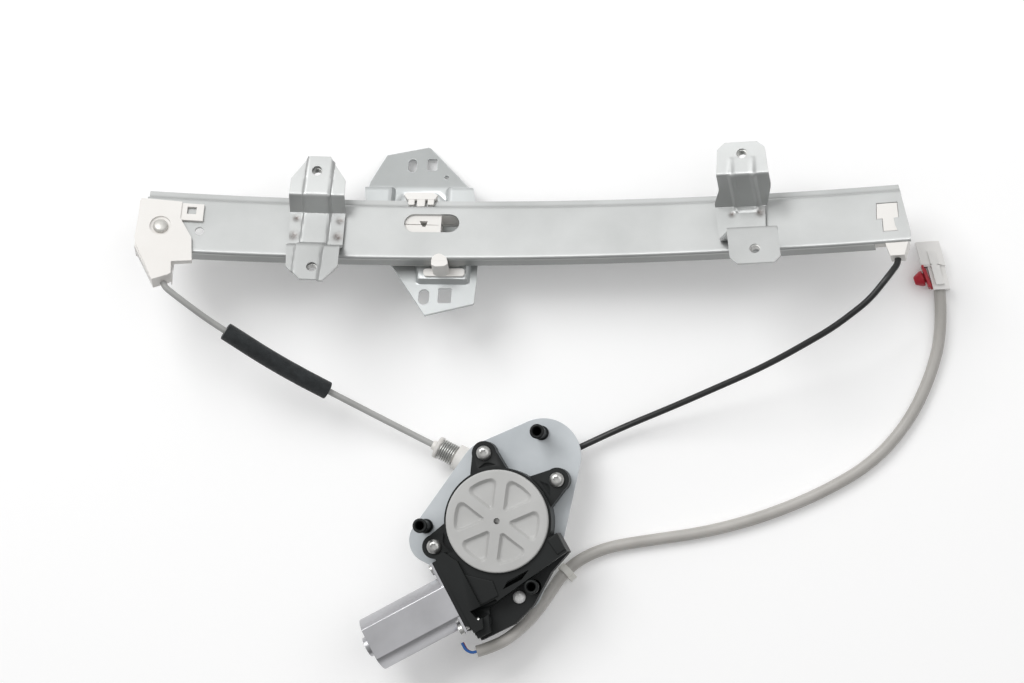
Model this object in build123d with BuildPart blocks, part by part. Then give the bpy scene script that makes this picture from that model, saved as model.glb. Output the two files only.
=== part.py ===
"""Cable-drum window regulator: bowed guide rail, glass carrier, worm-gear motor and cable runs.

Frame: +X along the rail, +Z up from the table that the motor's drum housing stands on, millimetres.
The rail assembly is built in planes that follow the rail's bow: x along it, y across, z out of its face.
The motor is built in a plane on the worm's axis: x along the worm, y towards the worm wheel, z up.
"""
import math
import os

from build123d import *

os.makedirs("parts", exist_ok=True)

# ---- frame of the rail -------------------------------------------------------------------------
RAIL_TILT = 23.0                        # lean of the rail's face towards +Y, degrees
BOW_R = 1650.0                          # radius of the rail's face
RAIL_MID = Vector(2.05, 106.1, 44.8)    # centre of the face
ACROSS = Vector(0, math.cos(math.radians(RAIL_TILT)), -math.sin(math.radians(RAIL_TILT)))
OUTWARD = Vector(0, math.sin(math.radians(RAIL_TILT)), math.cos(math.radians(RAIL_TILT)))
BOW_CENTRE = RAIL_MID + OUTWARD * BOW_R
BOW_AXIS = Axis(BOW_CENTRE, ACROSS * -1)

# ---- rail section ------------------------------------------------------------------------------
STEEL = 1.5                             # sheet of the rail and its brackets
BEND_R = 1.0
WEB_HALF = 18.0                         # half height of the face
RAIL_ENDS = (-239.5, 241.0)
LIP_TOP = 24.3                          # top edge of the upper lip
LIP_FACE = -7.5                         # front of the lip, behind the face
FLANGE_BACK = -10.5                     # back edge of the lower flange
LOWER_FLANGE_ENDS = (-219.0, 218.0)     # the lower flange is cut away at both ends for the cables
CABLE_V = 7.5                           # the straight cable run: height across the face
CABLE_N = -5.5                          # and depth behind it
SLOT = (-58.3, 6.1, 35.0, 13.0)         # access slot: centre, length, width
PULLEY = (-229.0, -4.0)                 # centre of the end pulley
PULLEY_PITCH = CABLE_V - PULLEY[1]
PULLEY_RIM_R = PULLEY_PITCH + 0.6
PULLEY_HALF_W = 2.5
PULLEY_ROOM = 1.0                       # the cap stays this far off the pulley's rim
RIVET_R = 3.0
PIN_HOLE = (-204.5, -4.8)
PIN_HOLE_R = 2.8
GUIDE_S = 232.0                         # the cable leaves the right end down this line
GUIDE_BEND = 10.0
GUIDE_DROP = 20.7                       # from the cable's straight run down to the guide's mouth
GUIDE_PLUG = ((-12.2, 9.4), (0.2, 9.4), (1.1, -1.3), (0.4, -10.0), (-8.0, -10.0), (-8.6, -1.1), (-12.2, -1.1))
PLUG_PLAY = 0.35                        # play of that plug in the rail

# ---- fits --------------------------------------------------------------------------------------
RUN_FIT = 0.06                          # radial play of a shaft in its bearing
SLIDE_FIT = 0.5                         # play of the slider on the rail
SLIDE_BORE = 1.4                        # half width of the slider's channel round the cable
BOLT_PLAY = 0.2                         # radial play of a screw in a clearance hole
SEAT = 0.02                             # play between pressed or bonded pieces

# ---- cables ------------------------------------------------------------------------------------
CABLE_D = 1.5
CONDUIT_D = 4.0
CONDUIT_BORE = 2.2
CABLE_BORE_R = 1.3                      # bores that the bare cable passes
FOAM_D = 11.5

# ---- glass carrier and slider ------------------------------------------------------------------
CARRIER_S = -62.0                       # where the carrier rests along the rail
CARRIER_T = 2.0
CARRIER_N = -13.0                       # front of its middle panel
CARRIER_STEP = 4.0                      # its two tabs lie this much deeper
SLIDER_LEN = 43.0
SLIDER_WINDOW = (9.4, -0.4, 12.6)       # open end of the slider at the slot: its start, lower and upper edge
CARRIER_EDGE = (41.0, 39.0)             # upper edge of the middle panel and foot of its wall
SHOULDERS = ((-41.0, -24.0), (10.0, 28.0))   # raised corners of that edge, with a notch between them
NOTCH_FOOT = 29.0
LEDGE = (-4.8, 28.0, -28.0)             # raised ledge above the lower tab: its two ends and its edge
CARRIER_RIVETS = (-14.0, 14.0)
CARRIER_RIVET_R = 2.6
RIVET_V = -4.4                          # the rivets lie below the middle of the face

# ---- brackets on the rail ----------------------------------------------------------------------
LEFT_S = -130.4
LEFT_RISE = 18.0
LEFT_HOLES = ((-131.4, 31.7), (-129.0, -36.8))
RIGHT_S = 138.0
RIGHT_RISE = 35.0
RIGHT_HOLES = ((140.4, 31.0), (149.6, -35.9))
M6_HOLE = 6.6
M6_CORE = 5.3
NUT_AF = 10.0
NUT_H = 5.0
WELD_GAP = 0.12                         # a flat bracket stands this far off the middle of the bowed face
CAP_GAP = 0.22                          # and so does the cap at the pulley's end

# ---- motor and gear ----------------------------------------------------------------------------
DRUM_XY = (-12.65, -74.9)               # axis of the drum and of the worm wheel
WORM_DIR = math.degrees(math.atan2(0.473, 0.881))
WORM_Z = 41.0
WHEEL_TEETH = 44
WHEEL_MODULE = 1.25
CENTRE_DIST = 30.5                      # worm axis to wheel axis
TOOTH_ROOT_R = 26.6
TOOTH_TIP_R = 28.2
TOOTH_T = 1.1
TOOTH_GAP = 0.4                         # tip play of wheel and worm
WHEEL_W = 6.0
WORM_LEAD = math.pi * WHEEL_MODULE
WORM_TIP_R = CENTRE_DIST - TOOTH_ROOT_R - TOOTH_GAP
WORM_CORE_R = CENTRE_DIST - TOOTH_TIP_R - TOOTH_GAP
WORM_TURNS = 5

DRUM_R = 23.0                           # pitch radius of the cable on the drum
DRUM_FLANGE_R = DRUM_R + 2.0
DRUM_Z = (4.0, 21.0)
CUP_R = (DRUM_FLANGE_R + 1.5, DRUM_FLANGE_R + 4.0)   # drum housing, inside and outside
CUP_FLOOR = 2.5
PLATE_Z = (24.0, 26.0)
GREY_Z = 15.5                           # heights at which the two cables leave the drum
BLACK_Z = 9.0
GREY_DIR = (-0.894, 0.447)
BLACK_DIR = (0.906, 0.424)
SPOUT_R = 8.4                           # housing spout of the grey cable, which holds the tensioner
SPOUT_END = 46.0
BLACK_SPOUT_R = 5.5
BLACK_SPOUT_END = 48.0
CABLE_SLOT_R = 2.0                      # bore behind each spout, wide enough for the cable to wander
STEM = (40.0, 57.5, 60.0)               # tensioner: foot, flange and face along the grey line
STEM_R = 5.0
STEM_PLAY = 0.2
SPRING_R = 6.0
SPRING_WIRE = 1.2
SPRING_COILS = 6
SHAFT_R = 5.0
SHAFT_END_R = 4.0                       # the shaft's lower end, in the drum housing
BUSHING_R = 7.0
HUB_R = 8.0
DAMPER_R = 15.0
CASE_TOP = 48.0                         # rim of the gear housing
COVER_R = 32.0
COVER_TOP = 52.5
CASE_R = 33.6

SCREW_R = 2.5
SCREWS = ((-22.65, -32.3), (23.35, -48.8), (-53.55, -90.8))
LOW_SCREW = (0.05, -121.8)
EAR_TOP = 40.0
POSTS = ((12.05, -19.1), (-60.95, -77.9), (9.05, -115.3))
POST_TOP = 52.0
POST_R = 3.5
POST_HEAD_R = 4.6
POST_BORE_R = 2.65
POST_FLOOR = 28.0                       # the bores are blind: this high, 2 mm above the plate

CAN_START = -47.5                       # open end of the motor can along the worm axis
CAN_END = -106.0
CAN_R = 17.25
CAN_HALF_H = 14.0
CAN_WALL = 1.7
MOTOR_SHAFT_R = 2.5
CARD_T = 3.0
CARD_Y = (-21.0, 26.5)
CAN_SCREWS = ((23.5, 0), (-18.2, 10.4))  # across and above the worm axis
CAN_SCREW_R = 2.0
COMM_X = (CAN_START - 12.5, CAN_START - 3.5)
COMM_R = 5.5
ROTOR_X = (CAN_END + 11.0, COMM_X[0] - 5.0)
ROTOR_R = 11.3
ROTOR_SLOTS = 8
SLOT_PITCH_R = 8.4
SLOT_R = 2.3
MAGNET_R = (ROTOR_R + 0.8, CAN_R - CAN_WALL - 0.15)
WORM_BUSH_X = (-38.0, -30.0)            # the bearing between the commutator and the worm
WORM_BUSH_R = 5.0
END_BUSH_R = 4.5
SHAFT_ENDS = (CAN_END - 2.5, 25.0)
WORM_HALF = 11.5                        # half length of the worm
CARD_X = (CAN_START, CAN_START + CARD_T)
TAB_X = (CAN_START - 9.5, CARD_X[1])    # terminal block on the brush card, outside the can
TAB_Y = (CARD_Y[0] - 4.0, CARD_Y[0])
TAB_Z = (WORM_Z - 10.0, WORM_Z - 4.0)
BRUSH_X = (COMM_X[0] + 2.0, COMM_X[1] - 2.0)
BRUSH_HALF_H = 2.3
CAN_BOSS_R = 6.5

# ---- harness -----------------------------------------------------------------------------------
HARNESS_D = 7.5
LEAD_D = 1.8
TIE_AT = 0.197                          # share of the sleeve's length at which the tie sits
PLUG_REAR = ((-5.0, 5.6), (0.02, 16.0), (0.2, 12.0))    # connector: bounds of its rear body
PLUG_FRONT = ((-8.4, 6.4), (14.5, 30.0), (0.0, 13.4))   # and of its front
SOCKET = ((-6.6, 4.6), (18.0, 31.0), (2.2, 11.4))
LATCH_HALF = 2.6
TERMINAL_X = (-3.8, 1.8)
TERMINAL_Y = (12.1, 24.0)
TERMINAL_Z = (4.52, 8.98)
TERMINAL_HALF_T = 0.38


def rail_point(s, v, n=0.0):
    """The point s along the bow, v across the face, n out of it."""
    turn = s / BOW_R
    reach = BOW_R - n
    return (BOW_CENTRE + Vector(1, 0, 0) * (reach * math.sin(turn))
            + ACROSS * v - OUTWARD * (reach * math.cos(turn)))


def rail_plane(s, v=0.0, n=0.0):
    """The plane tangent to the face there: x along, y across, z outward."""
    turn = s / BOW_R
    along = Vector(1, 0, 0) * math.cos(turn) + OUTWARD * math.sin(turn)
    out = OUTWARD * math.cos(turn) - Vector(1, 0, 0) * math.sin(turn)
    return Plane(origin=rail_point(s, v, n), x_dir=along, z_dir=out)


def section_plane(s, n=0.0):
    """The plane square to the rail there: x across the face, y outward."""
    turn = s / BOW_R
    along = Vector(1, 0, 0) * math.cos(turn) + OUTWARD * math.sin(turn)
    return Plane(origin=rail_point(s, 0, n), x_dir=ACROSS, z_dir=along)


def prism(plane, points, low, high, mode=Mode.ADD):
    """Extrude a closed outline on the plane from height low to height high."""
    with BuildSketch(plane.offset(low)) as outline:
        with BuildLine():
            Polyline(*points, close=True)
        make_face()
    extrude(outline.sketch, amount=high - low, mode=mode)


def slab(plane, x, y, z, mode=Mode.ADD):
    """A box between pairs of bounds on the plane."""
    prism(plane, ((x[0], y[0]), (x[1], y[0]), (x[1], y[1]), (x[0], y[1])), z[0], z[1], mode)


def disc(plane, at, radius, low, high, mode=Mode.ADD):
    """A round bar or bore square to the plane."""
    with BuildSketch(plane.offset(low)) as circle:
        with Locations(at):
            Circle(radius)
    extrude(circle.sketch, amount=high - low, mode=mode)


def spool(plane, profile, mode=Mode.ADD):
    """Turn an outline of (radius, height) points about the plane's z axis."""
    with BuildSketch(Plane(origin=plane.origin, x_dir=plane.x_dir, z_dir=plane.y_dir * -1)) as half:
        with BuildLine():
            Polyline(*profile, close=True)
        make_face()
    revolve(half.sketch, axis=Axis(plane.origin, plane.z_dir), revolution_arc=360, mode=mode)


def tube(path, outer, bore=0.0):
    """Sweep a round section along a path."""
    with BuildSketch(Plane(origin=path @ 0, z_dir=path % 0)) as ring:
        Circle(outer / 2)
        if bore:
            Circle(bore / 2, mode=Mode.SUBTRACT)
    sweep(ring.sketch, path=path)


def strand(path):
    """Sweep the cable's section, a hexagon across its diameter, along a path."""
    with BuildSketch(Plane(origin=path @ 0, z_dir=path % 0)) as lay:
        RegularPolygon(CABLE_D / 2, 6)
    sweep(lay.sketch, path=path)


def bend_radii(points, share=0.45):
    """The radius of each corner of a route: share of its shorter run over the tangent of half the turn."""
    radii = []
    for a, b, c in zip(points, points[1:], points[2:]):
        back, ahead = Vector(*b) - Vector(*a), Vector(*c) - Vector(*b)
        half = math.radians(back.get_angle(ahead)) / 2
        radii.append(share * min(back.length, ahead.length) / math.tan(half))
    return radii


def route(points, radii=None):
    """A wire of straight runs joined by tangent arcs."""
    with BuildLine() as run:
        FilletPolyline(*points, radius=radii or bend_radii(points))
    return run.wires()[0]


def finish(piece, name, colour):
    piece.part.label = name
    piece.part.color = Color(*colour)
    export_step(piece.part, f"parts/{name}.step")


ZINC = (0.80, 0.81, 0.80)
STEEL_GREY = (0.66, 0.69, 0.70)
WHITE = (0.93, 0.92, 0.90)
BLACK = (0.10, 0.11, 0.11)
BRASS = (0.80, 0.66, 0.35)
COPPER = (0.75, 0.43, 0.28)
GREY = (0.60, 0.60, 0.59)

# ==== guide rail ================================================================================
rail_outline = (
    (LIP_TOP, LIP_FACE), (WEB_HALF, LIP_FACE), (WEB_HALF, 0), (-WEB_HALF, 0), (-WEB_HALF, FLANGE_BACK),
    (STEEL - WEB_HALF, FLANGE_BACK), (STEEL - WEB_HALF, -STEEL), (WEB_HALF - STEEL, -STEEL),
    (WEB_HALF - STEEL, LIP_FACE - STEEL), (LIP_TOP, LIP_FACE - STEEL))
guide_start = rail_plane(GUIDE_S - GUIDE_BEND)
guide_plane = Plane(origin=guide_start.from_local_coords(Vector(GUIDE_BEND, 0, 0)), x_dir=guide_start.x_dir,
                    z_dir=guide_start.z_dir)
with BuildPart() as guide_rail:
    with BuildSketch(section_plane(RAIL_ENDS[0])) as rail_section:
        with BuildLine():
            Polyline(*rail_outline, close=True)
        make_face()
        fillet([v for v in rail_section.vertices() if v.X < LIP_TOP - 1 and v.Y > FLANGE_BACK + 1], BEND_R)
    revolve(axis=BOW_AXIS, revolution_arc=math.degrees((RAIL_ENDS[1] - RAIL_ENDS[0]) / BOW_R))
    with BuildSketch(rail_plane(SLOT[0], SLOT[1], 5)):
        SlotOverall(SLOT[2], SLOT[3])
    extrude(amount=-10, mode=Mode.SUBTRACT)
    disc(rail_plane(PULLEY[0], PULLEY[1]), (0, 0), RIVET_R + SEAT, -5, 5, Mode.SUBTRACT)
    disc(rail_plane(PIN_HOLE[0], PIN_HOLE[1]), (0, 0), PIN_HOLE_R, -5, 5, Mode.SUBTRACT)
    with BuildSketch(guide_plane.offset(-5)) as plug_hole:
        with BuildLine():
            Polyline(*GUIDE_PLUG, close=True)
        make_face()
        offset(amount=PLUG_PLAY, kind=Kind.INTERSECTION)
    extrude(amount=10, mode=Mode.SUBTRACT)
    slab(rail_plane(-230), (-15, LOWER_FLANGE_ENDS[0] + 230), (-25, -WEB_HALF + 2.2), (-15, -STEEL - 0.01),
         Mode.SUBTRACT)
    slab(rail_plane(230), (LOWER_FLANGE_ENDS[1] - 230, 15), (-25, -WEB_HALF + 2.2), (-15, -STEEL - 0.01),
         Mode.SUBTRACT)
    prism(rail_plane(238), ((-3.5, 30), (4.5, -20), (20, -20), (20, 30)), -20, 5, Mode.SUBTRACT)
finish(guide_rail, "guide_rail", ZINC)


# ==== brackets welded to the rail ===============================================================
def bracket(s, rise, foot, shoulder, reach, outline, ridge, holes):
    """A pressed hat bracket: a base on the face, two walls, two tabs; a ridge stiffens its middle."""
    half = STEEL / 2
    rise -= WELD_GAP
    spine = ((reach[0], rise - half), (shoulder[0], rise - half), (foot[0], half),
             (foot[1], half), (shoulder[1], rise - half), (reach[1], rise - half))
    width = max(abs(x) for x, _ in outline) + 5
    side = section_plane(s, WELD_GAP)
    with BuildSketch(side.offset(-width)) as strip:
        with BuildLine() as middle:
            Polyline(*spine)
        trace(middle.line, line_width=STEEL)
    extrude(strip.sketch, amount=2 * width)
    prism(rail_plane(s), outline, -5, rise + 5, Mode.INTERSECT)
    top = rail_plane(s, 0, rise + WELD_GAP)
    slab(top, ridge[0], (shoulder[0] + 2.5, ridge[1]), (-0.01, 1.2))
    slab(top, ridge[0], (ridge[2], shoulder[1] - 2.5), (-0.01, 1.2))
    slab(rail_plane(s, 0, STEEL), ridge[0], (foot[1] + 3.5, foot[0] - 3.5), (-0.01, 1.2))
    for hole in holes:
        disc(rail_plane(s), (hole[0] - s, hole[1]), M6_HOLE / 2, rise - 6, rise + 6, Mode.SUBTRACT)


with BuildPart() as left_bracket:
    bracket(LEFT_S, LEFT_RISE, (12.0, -14.0), (14.5, -20.0), (40.0, -46.0),
            ((-9, 42), (9, 42), (9, 36.5), (18.3, 27), (18.3, -35.5), (9.8, -46), (-6.5, -46),
             (-15.8, -37), (-17.2, -20), (-18.8, 10), (-18.3, 27), (-9, 36.5)),
            ((-8.8, 8.8), 39.0, -45.0), LEFT_HOLES)
finish(left_bracket, "left_bracket", ZINC)

with BuildPart() as right_bracket:
    bracket(RIGHT_S, RIGHT_RISE, (14.0, -12.0), (16.0, -19.5), (39.0, -46.0),
            ((-13, 15), (-13, 34.5), (-8.5, 39), (12, 39), (16.7, 35), (19.4, 15.5), (13.2, 12), (14, -12),
             (24.4, -18.4), (27.5, -41.9), (23.7, -46), (1, -46), (-3.7, -41.4), (-6.1, -18.3),
             (-14.7, -11), (-18, 13.4)),
            ((-3.0, 9.0), 24.0, -28.0), RIGHT_HOLES)
finish(right_bracket, "right_bracket", ZINC)

with BuildPart() as weld_nuts:
    for s, rise, holes in ((LEFT_S, LEFT_RISE, LEFT_HOLES), (RIGHT_S, RIGHT_RISE, RIGHT_HOLES)):
        for hole in holes:
            with BuildSketch(rail_plane(s).offset(rise - STEEL - SEAT - NUT_H)):
                with Locations((hole[0] - s, hole[1])):
                    RegularPolygon(NUT_AF / 2, 6, major_radius=False)
                    Circle(M6_CORE / 2, mode=Mode.SUBTRACT)
            extrude(amount=NUT_H)
finish(weld_nuts, "weld_nuts", STEEL_GREY)

# ==== left end: pulley bracket, pulley, rivet ===================================================
cap_plane = rail_plane(PULLEY[0])
cap_outline = ((-14, 15), (12, 14), (11.9, 2.3), (20.3, -11.2), (22.2, -27.5), (9.4, -29), (10, -37.3),
               (8, -38.6), (-1.3, -42.5), (-14.4, -17.3), (-15.3, -13))
mouth = (4.0, -38.0)                    # where the cable leaves the bracket, seen on its plane
wrap = math.atan2(mouth[1] - PULLEY[1], mouth[0]) - math.acos(PULLEY_PITCH / math.hypot(
    mouth[0], mouth[1] - PULLEY[1]))
leave = (PULLEY_PITCH * math.cos(wrap), PULLEY[1] + PULLEY_PITCH * math.sin(wrap))
mid_turn = (wrap + 2.5 * math.pi) / 2
wrap_mid = (PULLEY_PITCH * math.cos(mid_turn), PULLEY[1] + PULLEY_PITCH * math.sin(mid_turn))


def on_cap(x, y, z=CABLE_N):
    return cap_plane.from_local_coords(Vector(x, y, z))


exit_dir = (on_cap(*mouth) - on_cap(*leave)).normalized()
cap_mouth = Plane(origin=on_cap(*mouth), z_dir=exit_dir)
pulley_pivot = rail_plane(PULLEY[0], PULLEY[1], CABLE_N)
with BuildPart() as pulley_bracket:
    prism(cap_plane, cap_outline, CAP_GAP, 3.0)
    prism(cap_plane, ((-14.8, -WEB_HALF - 0.3), (21.2, -WEB_HALF - 0.3), (22.2, -27.5), (9.4, -29),
                      (10, -37.3), (8, -38.6), (-1.3, -42.5)), -12.5, CAP_GAP + 0.01)
    slab(cap_plane, (-15.0, -10.8), (-18.6, 15), (-12.5, CAP_GAP + 0.01))
    slab(cap_plane, (-15.0, 9.0), (-18.6, 15.0), (-12.5, -9.6))
    prism(cap_plane, ((11.5, 1.5), (26, 1.5), (26, 13.5), (11.5, 13.5)), CAP_GAP, 2.0)
    slab(cap_plane, (15.6, 21.4), (6.0, 11.2), (-5, 5), Mode.SUBTRACT)
    disc(rail_plane(PULLEY[0], PULLEY[1]), (0, 0), 6.6, 1.8, 5, Mode.SUBTRACT)
    disc(rail_plane(PULLEY[0], PULLEY[1]), (0, 0), RIVET_R + SEAT, -15, 5, Mode.SUBTRACT)
    disc(pulley_pivot, (0, 0), PULLEY_RIM_R + PULLEY_ROOM, -PULLEY_HALF_W - 0.7, PULLEY_HALF_W + 0.7,
         Mode.SUBTRACT)
    disc(cap_mouth, (0, 0), CABLE_BORE_R, -35, 1, Mode.SUBTRACT)
    disc(cap_mouth, (0, 0), CONDUIT_D / 2 + SEAT, 0, 20, Mode.SUBTRACT)
    slab(rail_plane(PULLEY[0], 0, CABLE_N), (0, 15), (CABLE_V - CABLE_BORE_R, CABLE_V + CABLE_BORE_R),
         (-CABLE_BORE_R, CABLE_BORE_R), Mode.SUBTRACT)
finish(pulley_bracket, "pulley_bracket", WHITE)

with BuildPart() as cable_pulley:
    groove_floor = PULLEY_PITCH - CABLE_D / 2 - 0.05
    spool(pulley_pivot,
          ((RIVET_R + RUN_FIT, -PULLEY_HALF_W), (PULLEY_RIM_R, -PULLEY_HALF_W), (PULLEY_RIM_R, -1.9),
           (groove_floor, -0.8), (groove_floor, 0.8), (PULLEY_RIM_R, 1.9), (PULLEY_RIM_R, PULLEY_HALF_W),
           (RIVET_R + RUN_FIT, PULLEY_HALF_W)))
finish(cable_pulley, "cable_pulley", BLACK)

with BuildPart() as pulley_rivet:
    spool(rail_plane(PULLEY[0], PULLEY[1]),
          ((0, -14.0), (4.4, -14.0), (4.4, -12.52), (RIVET_R, -12.52), (RIVET_R, 1.82), (4.7, 1.82),
           (4.5, 2.8), (3.6, 3.6), (2.0, 4.1), (0, 4.3)))
finish(pulley_rivet, "pulley_rivet", STEEL_GREY)

# ==== right end: cable guide ====================================================================
guide_turn = guide_plane.from_local_coords(Vector(0, CABLE_V - GUIDE_BEND, CABLE_N))
guide_mouth = guide_plane.from_local_coords(Vector(0, CABLE_V - GUIDE_BEND - GUIDE_DROP, CABLE_N))
guide_down = (guide_mouth - guide_turn).normalized()
guide_exit = Plane(origin=guide_turn, z_dir=guide_down)
with BuildPart() as cable_guide:
    slab(guide_plane, (-16, 6.5), (-15.4, 15.0), (-10.5, -STEEL - 0.15))
    prism(guide_plane, GUIDE_PLUG, -STEEL - 0.5, -0.3)
    prism(guide_plane, ((-7.5, -15.3), (7.2, -15.3), (6.7, -18.5), (-6.9, -18.5)), -10.5, -STEEL - 0.05)
    prism(guide_plane, ((-7.0, -WEB_HALF - 0.3), (6.8, -WEB_HALF - 0.3), (4.6, -27.2), (-4.0, -27.2)),
          -10.5, -0.5)
    slab(guide_plane, (-20, 0.5 - GUIDE_BEND), (CABLE_V - 1.1, CABLE_V + 1.1), (CABLE_N - 1.1, CABLE_N + 1.1),
         Mode.SUBTRACT)
    spool(rail_plane(GUIDE_S - GUIDE_BEND, CABLE_V - GUIDE_BEND, CABLE_N),
          ((GUIDE_BEND - 1, -1), (GUIDE_BEND + 1, -1), (GUIDE_BEND + 1, 1), (GUIDE_BEND - 1, 1)), Mode.SUBTRACT)
    disc(guide_exit, (0, 0), CABLE_BORE_R, -0.5, 30, Mode.SUBTRACT)
    disc(guide_exit, (0, 0), CONDUIT_D / 2 + SEAT, GUIDE_DROP, GUIDE_DROP + 10, Mode.SUBTRACT)
finish(cable_guide, "cable_guide", WHITE)

# ==== glass carrier, slider, rivets =============================================================
carrier_plane = rail_plane(CARRIER_S)
tab_n = CARRIER_N - CARRIER_STEP
wall = (tab_n - CARRIER_T, CARRIER_N)
notch = (SHOULDERS[0][1], SHOULDERS[1][0])
with BuildPart() as glass_carrier:
    prism(carrier_plane,
          ((-43, 41), (-43, 27), (-34, 20), (-28, -12), (LEDGE[0] - 2.2, -12), (LEDGE[0], LEDGE[2]),
           (LEDGE[1], LEDGE[2]), (31, -12), (32, 20), (28, 41)), CARRIER_N - CARRIER_T, CARRIER_N)
    slab(carrier_plane, notch, (NOTCH_FOOT, 45), (CARRIER_N - 5, CARRIER_N + 1), Mode.SUBTRACT)
    prism(carrier_plane, ((-41, 39), (-39, 45), (-32, 66.6), (-4, 73), (-1.7, 71.7), (20.3, 43.5), (26, 39),
                          (notch[1] + 2, 39), (notch[1] + 2, NOTCH_FOOT - 2), (notch[0] - 2, NOTCH_FOOT - 2),
                          (notch[0] - 2, 39)), wall[0], tab_n)
    prism(carrier_plane, ((-28, -10), (LEDGE[0] - 2.2, -10), (LEDGE[0], LEDGE[2] + 2), (31, LEDGE[2] + 2),
                          (33.3, -42.9), (3.2, -50.7), (1.3, -49.7), (-13, -26.5), (-20, -14)), wall[0], tab_n)
    for side, edge in ((SHOULDERS[0], SHOULDERS[0][1] - 2), (SHOULDERS[1], SHOULDERS[1][0])):
        slab(carrier_plane, side, (CARRIER_EDGE[1], CARRIER_EDGE[0]), wall)
        slab(carrier_plane, (edge, edge + 2), (NOTCH_FOOT - 2, CARRIER_EDGE[0]), wall)
    slab(carrier_plane, (notch[0] - 2, notch[1] + 2), (NOTCH_FOOT - 2, NOTCH_FOOT), wall)
    slab(carrier_plane, (LEDGE[0], LEDGE[1]), (LEDGE[2], LEDGE[2] + 2), wall)
    slab(carrier_plane, (-28, LEDGE[0] - 2.2), (-12, -10), wall)
    prism(carrier_plane, ((LEDGE[0] - 2.2, -12), (LEDGE[0], LEDGE[2]), (LEDGE[0] + 2, LEDGE[2]),
                          (LEDGE[0] - 0.2, -10), (LEDGE[0] - 2.2, -10)), wall[0], wall[1])
    deep = (tab_n - 5, tab_n + 5)
    for x, y, wide, long in ((-13.9, 57.8, 5.7, 9.9), (-0.1, -37.5, 6.8, 11.2)):
        with BuildSketch(carrier_plane.offset(deep[0])):
            with Locations((x, y)):
                SlotOverall(long, wide, rotation=90)
        extrude(amount=10, mode=Mode.SUBTRACT)
    slab(carrier_plane, (-4.0, 1.6), (54.8, 62.6), deep, Mode.SUBTRACT)
    slab(carrier_plane, (9.2, 16.8), (-41.3, -31.3), deep, Mode.SUBTRACT)
    disc(carrier_plane, (8.7, 49.3), 1.5, deep[0], deep[1], Mode.SUBTRACT)
    for x in CARRIER_RIVETS:
        disc(carrier_plane, (x, RIVET_V), CARRIER_RIVET_R, deep[0], 0, Mode.SUBTRACT)
finish(glass_carrier, "glass_carrier", STEEL_GREY)

half_len = SLIDER_LEN / 2
with BuildPart() as slider_shoe:
    slab(carrier_plane, (-half_len, half_len), (-21.0, 28.5), (CARRIER_N, FLANGE_BACK - SLIDE_FIT))
    slab(carrier_plane, (-half_len, half_len), (STEEL - WEB_HALF + SLIDE_FIT, WEB_HALF - STEEL - SLIDE_FIT),
         (FLANGE_BACK - SLIDE_FIT - 0.01, -STEEL - SLIDE_FIT))
    slab(carrier_plane, (-17, 19), (LIP_TOP + SLIDE_FIT, 28.5), (FLANGE_BACK - SLIDE_FIT - 0.01, -4.0))
    for x0, x1 in ((-12.5, -6.3), (-3.4, 4.9), (7.0, 14.1)):
        slab(carrier_plane, (x0, x1), (WEB_HALF + 0.8, 28.5), (LIP_FACE + SLIDE_FIT, -4.0))
    prism(carrier_plane, ((4, -WEB_HALF - SLIDE_FIT), (21, -WEB_HALF - SLIDE_FIT), (16, -21), (9, -21)),
          FLANGE_BACK - SLIDE_FIT - 0.01, -3.0)
    slab(carrier_plane, (-half_len - 1, half_len + 1), (CABLE_V - SLIDE_BORE, CABLE_V + SLIDE_BORE),
         (CABLE_N - SLIDE_BORE, CABLE_N + SLIDE_BORE), Mode.SUBTRACT)
    slab(carrier_plane, (SLIDER_WINDOW[0], half_len + 1), SLIDER_WINDOW[1:], (CARRIER_N - 1, 0), Mode.SUBTRACT)
    for x in CARRIER_RIVETS:
        disc(carrier_plane, (x, RIVET_V), CARRIER_RIVET_R, CARRIER_N - 5, -7.0, Mode.SUBTRACT)
finish(slider_shoe, "slider_shoe", WHITE)

with BuildPart() as carrier_rivets:
    for x in CARRIER_RIVETS:
        disc(carrier_plane, (x, RIVET_V), CARRIER_RIVET_R - SEAT, CARRIER_N - CARRIER_T - SEAT, -7.1)
        disc(carrier_plane, (x, RIVET_V), 4.5, CARRIER_N - CARRIER_T - 1.5, CARRIER_N - CARRIER_T - SEAT)
finish(carrier_rivets, "carrier_rivets", STEEL_GREY)

# ==== cables and conduits =======================================================================
corner = GUIDE_BEND * math.sqrt(0.5)
guide_mid = guide_plane.from_local_coords(
    Vector(corner - GUIDE_BEND, CABLE_V - GUIDE_BEND + corner, CABLE_N))
guide_enter = guide_plane.from_local_coords(Vector(-GUIDE_BEND, CABLE_V, CABLE_N))
with BuildPart() as rail_cable:
    with BuildLine() as cable_line:
        Line(on_cap(*mouth), on_cap(*leave))
        ThreePointArc(on_cap(*leave), on_cap(*wrap_mid), on_cap(0, CABLE_V))
        ThreePointArc(on_cap(0, CABLE_V), rail_point(0, CABLE_V, CABLE_N), guide_enter)
        ThreePointArc(guide_enter, guide_mid, guide_turn)
        Line(guide_turn, guide_mouth)
    strand(cable_line.wires()[0])
finish(rail_cable, "rail_cable", STEEL_GREY)

# ==== motor: planes =============================================================================
worm_x, worm_y = math.cos(math.radians(WORM_DIR)), math.sin(math.radians(WORM_DIR))
drum = Plane(origin=(*DRUM_XY, 0))
motor = Plane(origin=(DRUM_XY[0] + CENTRE_DIST * worm_y, DRUM_XY[1] - CENTRE_DIST * worm_x, 0),
              x_dir=(worm_x, worm_y, 0), z_dir=(0, 0, 1))
worm_axis = Plane(origin=motor.from_local_coords(Vector(0, 0, WORM_Z)), x_dir=(-worm_y, worm_x, 0),
                  z_dir=(worm_x, worm_y, 0))
table = Plane.XY


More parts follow.
